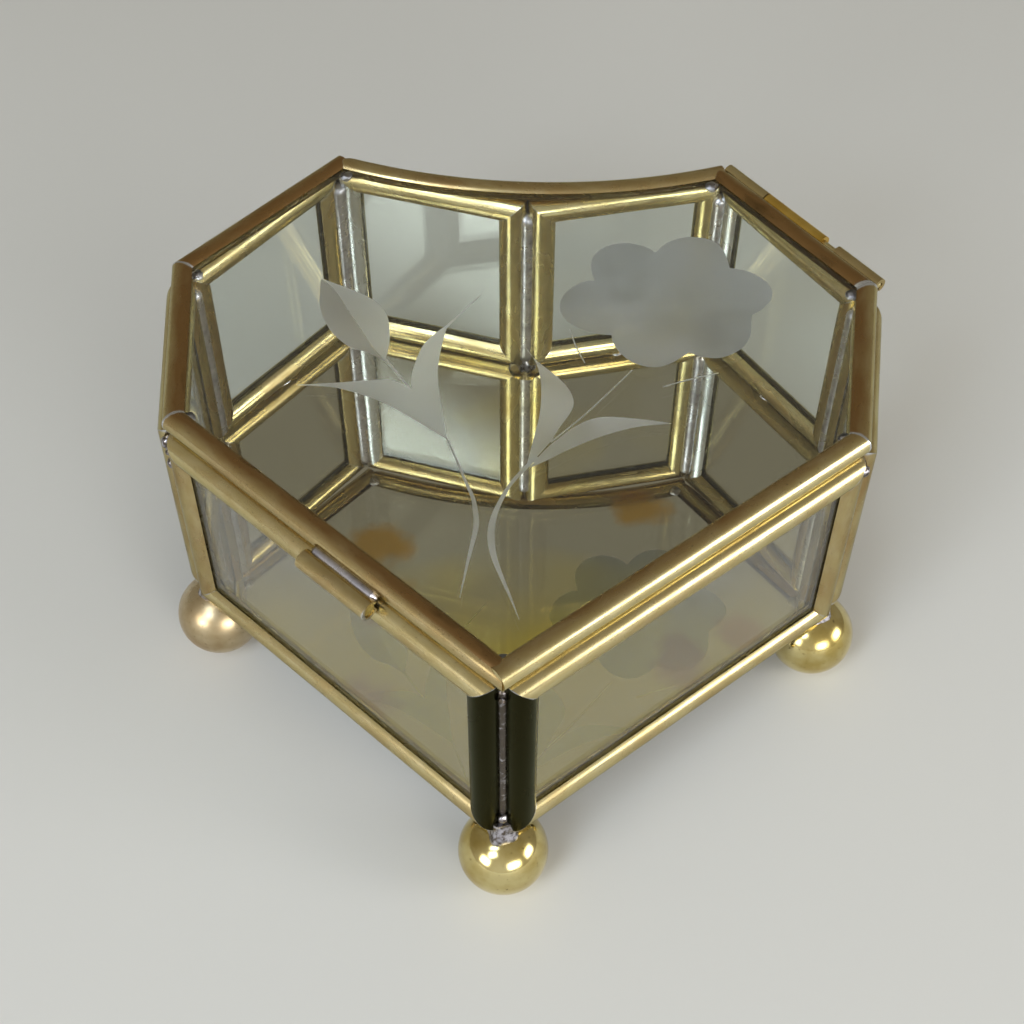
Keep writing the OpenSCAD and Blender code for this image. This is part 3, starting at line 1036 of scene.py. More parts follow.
def bead(
    form: Form,
    start: Vector,
    end: Vector,
    wide_way: Vector,
    half_wide: float,
    half_thick: float,
    seed: float,
    rough: float = 0.16,
    age: float = 0.0,
) -> None:
    """Runs an uneven bead of solder along a joint.

    Args:
        form: Form that takes it.
        start: Where it starts.
        end: Where it ends.
        wide_way: Direction across its wider size.
        half_wide: Half its width that way.
        half_thick: Half its thickness the other way.
        seed: Number that sets it apart from the next.
        rough: How uneven it is, as a share of its size.
        age: How stained it is.
    """
    way = (end - start).normalized()
    thick_way = way.cross(wide_way)
    total = (end - start).length
    spacing, around = 0.6, 20
    # Lengths over which it swells and over which it is lumpy, and the share of each in its size
    swell_length, lump_length = 2.6, 1.1
    swelling, lumpiness = 1.4 * rough, 0.7 * rough
    count = max(6, round(total / spacing))
    rows = []
    for j in range(count + 1):
        t = j / count
        near = min(t, 1 - t) * total
        taper = math.sqrt(max(0.04, 1 - max(0.0, 1 - near / half_wide) ** 2))
        swell = taper * (1 + swelling * wander(t * total, seed, swell_length))
        row = []
        for k in range(around):
            c, s = math.cos(2 * math.pi * k / around), math.sin(2 * math.pi * k / around)
            uneven = noise.noise(Vector((t * total / lump_length, c * 0.9 + seed, s * 0.9)))
            size = swell * (1 + lumpiness * uneven)
            row.append(
                start + way * (t * total)
                + wide_way * (half_wide * c * size) + thick_way * (half_thick * s * size)
            )
        rows.append(row)
    form.skin(rows, Ends.FAN, age=age, seed=seed)


def turned(
    form: Form, axis_start: Vector, way: Vector, profile: Sequence[Point], around: int = 64
) -> None:
    """Turns a profile about an axis.

    Args:
        form: Form that takes it.
        axis_start: Where the axis starts.
        way: Direction of the axis.
        profile: Distances along the axis and radii, from one end to the other.
        around: Number of points round the axis.
    """
    side = way.orthogonal().normalized()
    other = way.cross(side)
    turns = [2 * math.pi * k / around for k in range(around)]
    spokes = [side * math.cos(turn) + other * math.sin(turn) for turn in turns]
    rows = [[axis_start + way * x + spoke * r for spoke in spokes] for x, r in profile]
    form.skin(rows, Ends.FAN)


def bead_between(
    form: Form,
    ends: tuple[Vector, Vector],
    link: Vector,
    radii: tuple[float, float],
    spread: float,
    half_thick: float,
    seed: float,
    rough: float = 0.16,
) -> None:
    """Runs a bead in the gap between two round rods that lie side by side.

    Args:
        form: Form that takes it.
        ends: Points of the first rod's axis beside which it starts and ends.
        link: From the first rod's axis to the other's.
        radii: Radii of the first rod and the other.
        spread: How far it reaches over each rod past the gap.
        half_thick: Half its thickness.
        seed: Number that sets it apart from the next.
        rough: How uneven it is, as a share of its size.
    """
    gap = link.length - radii[1] - radii[0]
    way = link.normalized()
    shift = way * (radii[0] + gap / 2)
    bead(form, ends[0] + shift, ends[1] + shift, way, gap / 2 + spread, half_thick, seed, rough)


# ---------------------------------------------------------------------------------------------
# Walls
# ---------------------------------------------------------------------------------------------


@dataclass(frozen=True)
class Upright:
    """How one upright channel of a wall frame looks."""

    # Its age, which at 1.5 lays near-black olive as painted dark reflection, and its shares of tin
    # along the back and on the side towards the inside of the box
    age: float = 0.3
    tin: float = 0.35
    coat: float = 0.0


SILVERY = Upright(0.0, 0.6, 0.85)
# Uprights at the front point, laid near-black olive: painted dark reflection
PAINTED_DARK = Upright(1.5, 0.1)
PLAIN = Upright(0.05, 0.2)


@dataclass
class WallFrame:
    """Frame of one glass wall: four lengths of channel mitred round the pane."""

    wall: int
    first: Upright = Upright()
    second: Upright = Upright()
    channel: Channel = Channel(4.4, 0.45, 2.1)
    rail_age: float = 0.12
    joint_tin: float = 0.6

    @property
    def node(self) -> str:
        """The CAD node that the frame stands for."""
        return SIZES.wall_names[self.wall] + "_frame"

    def build(self) -> bpy.types.Object:
        """Builds and dresses the frame: lower rail, far upright, upper rail, near upright.

        Returns:
            The frame's piece.
        """
        ring, i = SIZES.heart, self.wall
        along = ring.along(i).to_3d()
        near = ring.at(i).to_3d() + along * SIZES.setback(i)
        far = ring.at(i + 1).to_3d() - along * SIZES.setback(i + 1)
        low, high = UP * SIZES.low_z, UP * SIZES.high_z
        corners = (near + low, far + low, far + high, near + high)
        rail = Upright(self.rail_age, 0.0)
        looks = (rail, self.second, rail, self.first)
        form = Form()
        for k, (slot_way, look) in enumerate(zip((UP, -along, -UP, along), looks)):
            self.channel.length(
                form, corners[k], corners[(k + 1) % 4], slot_way,
                (mitre(math.pi / 2), mitre(math.pi / 2)), look.age,
                (self.joint_tin, self.joint_tin), look.tin, look.coat, seed=10.0 * i + 1 + k,
            )
        name = self.node.replace("frame", "channel")
        return form.piece(name, BOX, "brass", [self.node], AgedBrass())


@dataclass
class Walls:
    """The eight glass walls, with how the uprights at each wall's first and second end look."""

    firsts: dict[int, Upright] = field(default_factory=lambda: {
        0: PAINTED_DARK, 3: PLAIN, 4: PLAIN, 5: Upright(0.2, 0.5, 0.3),
    })
    seconds: dict[int, Upright] = field(default_factory=lambda: {
        2: SILVERY, 3: PLAIN, 4: SILVERY, 7: PAINTED_DARK,
    })

    def build(self) -> None:
        """Builds the frames and dresses the panes."""
        usual = Upright()
        for i, name in enumerate(SIZES.wall_names):
            WallFrame(i, self.firsts.get(i, usual), self.seconds.get(i, usual)).build()
            dress(f"{name}_pane", FloatGlass())


@dataclass
class CornerSeams:
    """Solder run down the grooves between the uprights, inside and out, with its drips."""

    # Radius of each run, and how deep it lies below the uprights' outermost or innermost line
    out_r: float = 0.66
    out_sink: float = 0.6
    in_r: float = 1.3
    in_sink: float = 0.1
    # How far the runs pass the rails' axes, and how far lower the inner ones end
    overrun: float = 1.2
    in_drop: float = 1.4
    # Corner, height and radius of each drip, and how far out they hang
    drip_out: float = 1.6
    drips: tuple[tuple[int, float, float], ...] = (
        (6, 46.4, 0.9), (6, 42.6, 1.1), (7, 47.3, 0.9), (7, 45.4, 0.6), (7, 43.0, 0.7),
        (1, 46.0, 0.8), (2, 46.2, 0.9), (0, 46.2, 0.55), (0, 17.0, 0.8),
    )

    def build(self) -> bpy.types.Object:
        """Builds and dresses the seams.

        Returns:
            The seams as one piece.
        """
        form = Form()
        ring = SIZES.heart
        for i in range(len(ring.corners)):
            a = ring.at(i) - SIZES.setback(i) * ring.along(i - 1)
            b = ring.at(i) + SIZES.setback(i) * ring.along(i)
            across = (b - a).normalized()
            out = Vector((across.y, -across.x)).to_3d()
            middle = ((a + b) / 2).to_3d()
            low, high = UP * (SIZES.low_z - self.overrun), UP * (SIZES.high_z + self.overrun)
            outer = middle + out * (SIZES.channel_r - self.out_sink - self.out_r)
            inner = middle - out * (SIZES.channel_r - self.in_sink - self.in_r)
            bead(form, outer + low, outer + high, across.to_3d(), self.out_r, self.out_r, i + 0.1,
                 0.04, 0.95)
            bead(form, inner + low, inner + high - UP * self.in_drop, across.to_3d(), self.in_r,
                 self.in_r, i + 0.6, 0.02)
            for corner, z, r in self.drips:
                if corner == i:
                    spot = middle + out * self.drip_out + UP * z
                    lump(form, spot, Vector((r, r, r * 1.2)), z, 0.2, 0.7)
        return form.piece("corner_seams", BOX, "solder", ["corner_solder"], TinSolder())


# ---------------------------------------------------------------------------------------------
# Floor and feet
# ---------------------------------------------------------------------------------------------


@dataclass
class BallFeet:
    """Solid brass balls that carry the box, each with its lump of solder."""

    names: tuple[str, ...] = ("front", "right", "rear", "left")
    flat_depth: float = 0.1
    rings: int = 40
    # The lump starts this far above the ball's middle and ends this far below the rails' axis
    lump_start: float = 5.55
    lump_sink: float = 0.4
    # Radius at the lump's foot, and how it changes with the share of the height and its square
    lump_radius: tuple[float, float, float] = (2.5, -1.3, 0.45)
    lump_rough: float = 0.3
    # The rear lump is smaller and further back, clear of the mirror's corner
    rear_back: float = 1.6
    rear_size: float = 0.7
    polished: SolidBrass = SolidBrass()
    satin: SolidBrass = SolidBrass(
        "turned_brass_satin", "#CDBC9A", "#B19A74", "#6E5B40", (0.24, 0.38)
    )

    def build(self) -> list[bpy.types.Object]:
        """Builds and dresses the four feet and their solder.

        Returns:
            The feet, and last the solder.
        """
        made = []
        lumps = Form()
        for name, corner in zip(self.names, SIZES.foot_corners):
            form = Form()
            centre = SIZES.foot_centre(corner).to_3d() + UP * SIZES.foot_z
            r = SIZES.foot_r
            bottom = r - self.flat_depth
            profile = [(-bottom, math.sqrt(r * r - bottom * bottom))]
            first = math.acos(bottom / r)
            for j in range(1, self.rings):
                polar = first + (math.pi - first) * j / self.rings
                profile.append((-r * math.cos(polar), r * math.sin(polar)))
            turned(form, centre, UP, profile)
            finish = self.satin if name == "left" else self.polished
            nodes = [f"{name}_foot"]
            made.append(form.piece(f"{name}_ball", BOX, "bright_brass", nodes, finish, 60))
            self.solder(lumps, centre, corner)
        made.append(lumps.piece("foot_lumps", BOX, "solder", ["foot_solder"], TinSolder()))
        return made

    def solder(self, form: Form, centre: Vector, seed: int) -> None:
        """Adds the lump between one ball and the frames above it.

        Args:
            form: Form that takes it.
            centre: The ball's middle.
            seed: The corner, which sets the lump apart from the others.
        """
        size = 1.0
        if seed == SIZES.notch_corner:
            centre, size = centre + Vector((0.0, self.rear_back, 0.0)), self.rear_size
        top = SIZES.low_z - self.lump_sink
        start = centre.z + self.lump_start
        foot, slope, bend = self.lump_radius
        rows, count, around = [], 12, 28
        for j in range(count + 1):
            t = j / count
            z = start + (top - start) * t
            r = foot + slope * t + bend * t * t
            row = []
            for k in range(around):
                turn = 2 * math.pi * k / around
                d = Vector((math.cos(turn), math.sin(turn), 0.0))
                uneven = noise.noise(Vector((d.x * 1.3, d.y * 1.3, z * 0.5 + seed * 4.0)))
                swell = 1 + self.lump_rough * uneven
                row.append(Vector((centre.x, centre.y, z)) + d * r * size * swell)
            rows.append(row)
        form.skin(rows, Ends.FAN, age=0.45, seed=float(seed))


@dataclass
class MirrorFloor:
    """The mirror floor and the solder dots that hold it up."""

    inset: float = 0.35
    mirror_middle: float = 12.85
    dot_walls: tuple[int, ...] = (1, 2, 3, 4, 5, 6)
    dot_r: float = 1.3

    def build(self) -> list[bpy.types.Object]:
        """Dresses the mirror and builds its dots.

        Returns:
            The mirror and the dots.
        """
        mirror = dress("floor_mirror", SilveredGlass())
        form = Form()
        for i in self.dot_walls:
            ring = SIZES.heart
            spot = (ring.at(i) + ring.at(i + 1)) / 2 - ring.outward(i) * self.inset
            centre = spot.to_3d() + UP * self.mirror_middle
            lump(form, centre, Vector((1, 1, 1)) * self.dot_r, i + 0.4)
        dots = form.piece("floor_dots", BOX, "solder", ["floor_solder"], TinSolder())
        return [mirror, dots]


def dress(node: str, finish: Finish) -> bpy.types.Object:
    """Gives a CAD node its finish.

    Args:
        node: The node's name.
        finish: What it is finished in.

    Returns:
        The node's object.
    """
    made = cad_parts[node]
    made.data.materials.clear()
    made.data.materials.append(finish.material())
    LOG.info("%s: dressed in %s", node, finish.name)
    return made


# ---------------------------------------------------------------------------------------------
# Lid
# ---------------------------------------------------------------------------------------------


class Joint(Enum):
    """How a lid rail's end meets the next rail."""

    MITRED = "mitred"
    LAPPED = "lapped"
    PROUD = "cut square and run over the next rail"
    HOLLOWED = "hollowed"
    COPED = "coped"


@dataclass
class LidRim:
    """The lid's rim: six straight lengths of light channel and a curved one over the notch."""

    channel: Channel = Channel(3.5, 0.4, 2.1, slot_top_browning=0.5)
    # How far the curved rail lies outside the notch corner, and runs past the back right rail
    notch_overhang: float = 0.3
    notch_proud: float = 1.0
    # How far a lapped end and a square one run past their corners, and the gap round a cope
    lap: float = 0.5
    proud: float = 1.0
    cope_play: float = 0.03
    # Share of its girth that the hollowed end loses
    pinch: float = 0.07
    # Cap of an end that shows: its tip, then distances along the rail and shares of its radius
    cap_tip: Point = (-0.16, 0.1)
    cap: tuple[Point, ...] = ((-0.15, 0.5), (-0.1, 0.8), (0.02, 0.97), (0.3, 0.9))
    # Corner, name, joint at the first and second end, and age of each straight rail
    rails: tuple[tuple[int, str, Joint, Joint, float], ...] = (
        (0, "front_right", Joint.PROUD, Joint.MITRED, 0.0),
        (1, "right", Joint.MITRED, Joint.MITRED, 0.15),
        (2, "back_right", Joint.MITRED, Joint.COPED, 0.3),
        (4, "back_left", Joint.LAPPED, Joint.MITRED, 0.15),
        (5, "left", Joint.MITRED, Joint.MITRED, 0.15),
        (6, "front_left", Joint.MITRED, Joint.HOLLOWED, 0.3),
    )
    # Share of tin at each corner; the curved rail has its own
    tins: tuple[float, ...] = (0.1, 1.0, 2.6, 0.5, 0.5, 1.0, 1.0)
    curved: int = 3
    curved_tin: float = 0.5
    curved_age: float = 0.3
    curved_steps: int = 60

    def arc(self) -> tuple[Vector, float]:
        """The curved rail's arc, in plan.

        Returns:
            Its centre and its radius.
        """
        corner = SIZES.lid_ring().at(self.curved)
        low = SIZES.heart.at(SIZES.notch_corner).y + self.notch_overhang
        sag = corner.y - low
        r = (corner.x * corner.x + sag * sag) / (2 * sag)
        return Vector((0.0, low + r)), r

    def out_of(self, rail: int, corner: int) -> Vector:
        """Direction out of the lid beside a rail, at one of its corners.

        Args:
            rail: The rail.
            corner: The corner.

        Returns:
            The direction, in plan.
        """
        ring = SIZES.lid_ring()
        if rail % len(ring.corners) == self.curved:
            return (self.arc()[0] - ring.at(corner)).normalized()
        return ring.outward(rail)

    def cut(self, i: int, joint: Joint, at_end: bool) -> Cut:
        """Fits one end of a straight rail to its neighbour.

        Args:
            i: The rail.
            joint: How it meets its neighbour.
            at_end: Whether this is its second end.

        Returns:
            The cut.
        """
        ring = SIZES.lid_ring()
        corner = i + 1 if at_end else i
        plain = mitre(ring.opening(corner))
        if joint is Joint.MITRED:
            return plain
        if joint is Joint.LAPPED:
            return lambda a, b: min(plain(a, b), -self.lap)
        if joint is Joint.PROUD:
            return square(self.proud)
        way = -ring.along(i) if at_end else ring.along(i)
        other = i + 1 if at_end else i - 1
        radius = SIZES.lid_r + self.cope_play
        cope = coped(way, -ring.outward(i), self.out_of(other, corner), radius)
        if joint is Joint.COPED:
            return cope
        next_way = ring.along(other)

        def hollowed(a: float, b: float) -> float:
            """Coped where the neighbour runs past, and mitred beyond its end.

            Args:
                a: Distance towards the slot.
                b: Distance across it.

            Returns:
                How far the end stops short.
            """
            x = cope(a, b)
            past = (way * x - ring.outward(i) * a).dot(next_way)
            return max(plain(a, b), x) if past > -self.proud - self.cope_play else plain(a, b)

        return hollowed

    def build(self) -> list[bpy.types.Object]:
        """Builds and dresses the seven rails.

        Returns:
            Their pieces.
        """
        ring = SIZES.lid_ring()
        high = UP * SIZES.lid_z
        made = []
        for i, name, first, second, age in self.rails:
            form = Form()
            start, end = ring.at(i).to_3d() + high, ring.at(i + 1).to_3d() + high
            self.channel.length(
                form, start, end, -ring.outward(i).to_3d(),
                (self.cut(i, first, False), self.cut(i, second, True)), age,
                (self.tins[i], self.tins[(i + 1) % len(self.tins)]),
                pinch=self.pinch if second is Joint.HOLLOWED else 0.0, seed=100.0 + i,
            )
            over = {Joint.LAPPED: self.lap, Joint.PROUD: self.proud}.get(first)
            if over is not None:
                along = ring.along(i).to_3d()
                cap = [self.cap_tip] + [(x, SIZES.lid_r * share) for x, share in self.cap]
                turned(form, start - along * over, along, cap, 40)
            nodes = [f"lid_rail_{name}"]
            made.append(form.piece(f"lid_channel_{name}", LID, "brass", nodes, AgedBrass()))
        made.append(self.notch_rail())
        return made

    def notch_rail(self) -> bpy.types.Object:
        """Builds and dresses the curved rail.

        Returns:
            Its piece.
        """
        ring = SIZES.lid_ring()
        centre, r = self.arc()
        left = ring.at(self.curved + 1)
        start = math.atan2(left.y - centre.y, left.x - centre.x)
        half = math.asin(-left.x / r)
        slot_way = (left - centre).normalized()
        way = Vector((-slot_way.y, slot_way.x))
        cut = coped(way, slot_way, ring.outward(self.curved + 1), SIZES.lid_r + self.cope_play)
        total = 2 * half * r + self.notch_proud
        form, rows, tins = Form(), [], []
        for j in range(self.curved_steps + 1):
            row, tin_row = [], []
            for a, b in self.channel.section():
                x0 = cut(a, b)
                x = x0 + (total - x0) * j / self.curved_steps
                angle = start + x / r
                spoke = Vector((math.cos(angle), math.sin(angle)))
                row.append((centre + spoke * (r + a)).to_3d() + UP * (SIZES.lid_z - b))
                from_end = min(x - x0, total - x)
                tin_row.append(self.curved_tin * math.exp(-from_end / self.channel.tin_reach))
            rows.append(row)
            tins.append(tin_row)
        form.skin(rows, Ends.LIPPED, tins, self.curved_age, 100.0 + self.curved)
        return form.piece("lid_channel_notch", LID, "brass", ["lid_rail_notch"], AgedBrass())


@dataclass
class LidSolder:
    """Dots of solder under the lid's corners."""

    dot_r: float = 1.0
    flatness: float = 0.55
    below_axis: float = 1.2

    def build(self) -> bpy.types.Object:
        """Builds and dresses the dots.

        Returns:
            The dots as one piece.
        """
        ring = SIZES.lid_ring()
        form = Form()
        for i in range(len(ring.corners)):
            spot = ring.inset(i, SIZES.lid_r, SIZES.lid_r).to_3d()
            spot.z = SIZES.lid_z - self.below_axis
            lump(form, spot, Vector((1.0, 1.0, self.flatness)) * self.dot_r, i + 0.2, 0.2)
        return form.piece("lid_dots", LID, "solder", ["lid_solder"], TinSolder())


@dataclass
class Hinge:
    """Three rolled knuckles on one pin along the lid's back right rail."""

    rail: int = 2
    # The axis lies in the nook between lid rail and wall rail, a fitting gap clear of both
    inward: float = -3.0295
    height: float = 50.5426
    knuckle: Channel = Channel(2.3, 0.6, 0.1, 28)
    knuckle_age: float = 0.25
    knuckle_tin: float = 0.3
    pin_d: float = 1.0
    # Start along the lid rail and length of each knuckle
    side: tuple[float, float] = (-0.093, 8.8)
    lid: tuple[float, float] = (11.307, 12.0)
    lobe: tuple[float, float] = (23.507, 8.4)
    # The wall ends before the lobe knuckle does, and so does the bead between them
    lobe_bead: float = 6.64
    bead_end: float = 1.2

    def spot(self, x: float) -> Vector:
        """Point of the hinge axis.

        Args:
            x: Place along the lid rail.

        Returns:
            The point.
        """
        ring = SIZES.lid_ring()
        p = ring.at(self.rail) + ring.along(self.rail) * x - ring.outward(self.rail) * self.inward
        return p.to_3d() + UP * self.height

    def barrel(self, place: str, body: str, x: float, long: float, finish: Finish) -> None:
        """Builds and dresses one knuckle.

        Args:
            place: Name of its place.
            body: CAD body that it rides on.
            x: Where it starts along the lid rail.
            long: Its length.
            finish: What it is finished in.
        """
        form = Form()
        self.knuckle.length(
            form, self.spot(x), self.spot(x + long), -UP, (square(), square()),
            self.knuckle_age, (self.knuckle_tin, self.knuckle_tin), seed=x,
        )
        slot = "bright_brass" if body == LID else "brass"
        form.piece(f"hinge_barrel_{place}", body, slot, [f"hinge_knuckle_{place}"], finish)

    def build(self) -> None:
        """Builds and dresses the knuckles, the pin and their solder."""
        self.barrel("side", BOX, *self.side, AgedBrass())
        self.barrel("lobe", BOX, *self.lobe, AgedBrass())
        gold = SolidBrass("rolled_brass_gold", "#DDBB62", "#C29A3F", "#7A5A26", (0.16, 0.28))
        self.barrel("lid", LID, *self.lid, gold)
        form = Form()
        start, end = self.spot(self.side[0]), self.spot(self.lobe[0] + self.lobe[1])
        r, total = self.pin_d / 2, (end - start).length
        rounding = [(0.0, r * 0.6), (0.12, r * 0.93), (0.3, r)]
        profile = rounding + [(total - x, radius) for x, radius in reversed(rounding)]
        turned(form, start, (end - start).normalized(), profile, 24)
        form.piece("hinge_wire", BOX, "brass", ["hinge_pin"], AgedBrass())
        self.solder()

    def solder(self) -> None:
        """Builds the beads that hold the outer knuckles to the wall and the middle one to the lid.

        The lid leans away from the wall towards the lobe, so each wall bead has its own link.
        """
        ring, r = SIZES.lid_ring(), self.knuckle.diameter / 2
        out = ring.outward(self.rail).to_3d()
        form = Form()
        for x, long in (self.side, (self.lobe[0], self.lobe_bead)):
            middle = x + long / 2
            share = middle / ring.span(self.rail)
            inset = SIZES.lid_side + (SIZES.lid_lobe - SIZES.lid_side) * share
            wall = self.spot(middle) - out * (-self.inward - inset)
            wall.z = SIZES.high_z
            link = wall - self.spot(middle)
            half_gap = (link.length - SIZES.channel_r - r) / 2
            ends = (self.spot(x + self.bead_end), self.spot(x + long - self.bead_end))
            bead_between(form, ends, link, (r, SIZES.channel_r), 0.45, half_gap + 0.4, x + 0.3)
        form.piece("hinge_beads_box", BOX, "solder", ["hinge_solder_box"], TinSolder())
        form = Form()
        x, long = self.lid
        rail = self.spot(0) + out * self.inward
        rail.z = SIZES.lid_z
        ends = (self.spot(x + self.bead_end), self.spot(x + long - self.bead_end))
        bead_between(form, ends, rail - self.spot(0), (r, SIZES.lid_r), 0.4, 0.5, 5.5)
        form.piece("hinge_bead_lid", LID, "solder", ["hinge_solder_lid"], TinSolder())


@dataclass
class ThumbTab:
    """Short slotted tube on the front left rail, held by a strip of solder."""

    rail: int = 6
    channel: Channel = Channel(2.8, 0.4, 1.2, 30)
    long: float = 12.2
    # How far towards the front point it sits from the rail's middle
    offset: float = 4.6
    # Its axis: outside the rail's by this much (counted inwards), and a little lower
    inward: float = -3.436
    height: float = 49.6
    # Rolled-in ends: distances along the tube and radii
    ends: tuple[Point, ...] = ((0.2, 0.05), (0.18, 0.5), (0.15, 0.85), (0.3, 1.04))
    strip_end: float = 0.3

    def build(self) -> None:
        """Builds and dresses the tab and its solder."""
        ring = SIZES.lid_ring()
        along, out = ring.along(self.rail).to_3d(), ring.outward(self.rail).to_3d()
        middle = ((ring.at(self.rail) + ring.at(self.rail + 1)) / 2).to_3d() + along * self.offset
        axis = middle - out * self.inward + UP * self.height
        reach = along * self.long / 2
        form = Form()
        self.channel.length(form, axis - reach, axis + reach, -out, (square(), square()),
                            0.25, (0.3, 0.5), 0.3, seed=60.0)
        for end, way in ((axis - reach, along), (axis + reach, -along)):
            turned(form, end, way, self.ends, 32)
        form.piece("thumb_tube", LID, "bright_brass", ["thumb_tab"], AgedBrass())
        form = Form()
        short = along * (self.long / 2 - self.strip_end)
        link = middle + UP * SIZES.lid_z - axis
        radii = (self.channel.diameter / 2, SIZES.lid_r)
        bead_between(form, (axis - short, axis + short), link, radii, 0.5, 0.8, 6.5, 0.03)
        form.piece("thumb_strip", LID, "solder", ["thumb_tab_solder"], TinSolder())


# ---------------------------------------------------------------------------------------------
# Frosted flower spray
# ---------------------------------------------------------------------------------------------


def rounded(points: Sequence[Point], steps: int = 6) -> list[Point]:
    """Draws a smooth line through points, with its ends where they are.

    Args:
        points: Points that the line passes through.
        steps: Number of steps between two of them.

    Returns:
        The line's points, without the last.
    """
    run: list[Point] = []
    for k in range(len(points) - 1):
        p0 = Vector(points[max(0, k - 1)])
        p1, p2 = Vector(points[k]), Vector(points[k + 1])
        p3 = Vector(points[min(len(points) - 1, k + 2)])
        for j in range(steps):
            t = j / steps
            q = 0.5 * (
                2 * p1 + (p2 - p0) * t + (2 * p0 - 5 * p1 + 4 * p2 - p3) * t * t
                + (3 * p1 - p0 - 3 * p2 + p3) * t * t * t
            )
            run.append((q.x, q.y))
    return run


@dataclass(frozen=True)
class FrostedShape:
    """One stencilled shape: smooth runs of its outline that meet in points or notches."""

    name: str
    runs: tuple[tuple[Point, ...], ...]

    def outline(self) -> list[Point]:
        """The whole outline as one closed run of points."""
        return [p for run in self.runs for p in rounded(run)]


@dataclass(frozen=True)
class FrostedLine:
    """One stencilled line that swells between its two fine ends."""

    name: str
    points: tuple[Point, ...]
    widths: tuple[float, ...]

    def outline(self) -> list[Point]:
        """Draws round the line at its width.

        Returns:
            The outline as one closed run of points.
        """
        middle = rounded(self.points, 8) + [self.points[-1]]
        last = len(middle) - 1
        sides: tuple[list[Point], list[Point]] = ([], [])
        for k, p in enumerate(middle):
            way = (Vector(middle[min(last, k + 1)]) - Vector(middle[max(0, k - 1)])).normalized()
            place = k / last * (len(self.widths) - 1)
            at = min(int(place), len(self.widths) - 2)
            width = self.widths[at] + (self.widths[at + 1] - self.widths[at]) * (place - at)
            off = Vector((-way.y, way.x)) * (width / 2)
            sides[0].append((p[0] + off.x, p[1] + off.y))
            sides[1].append((p[0] - off.x, p[1] - off.y))
        return sides[0] + sides[1][::-1]


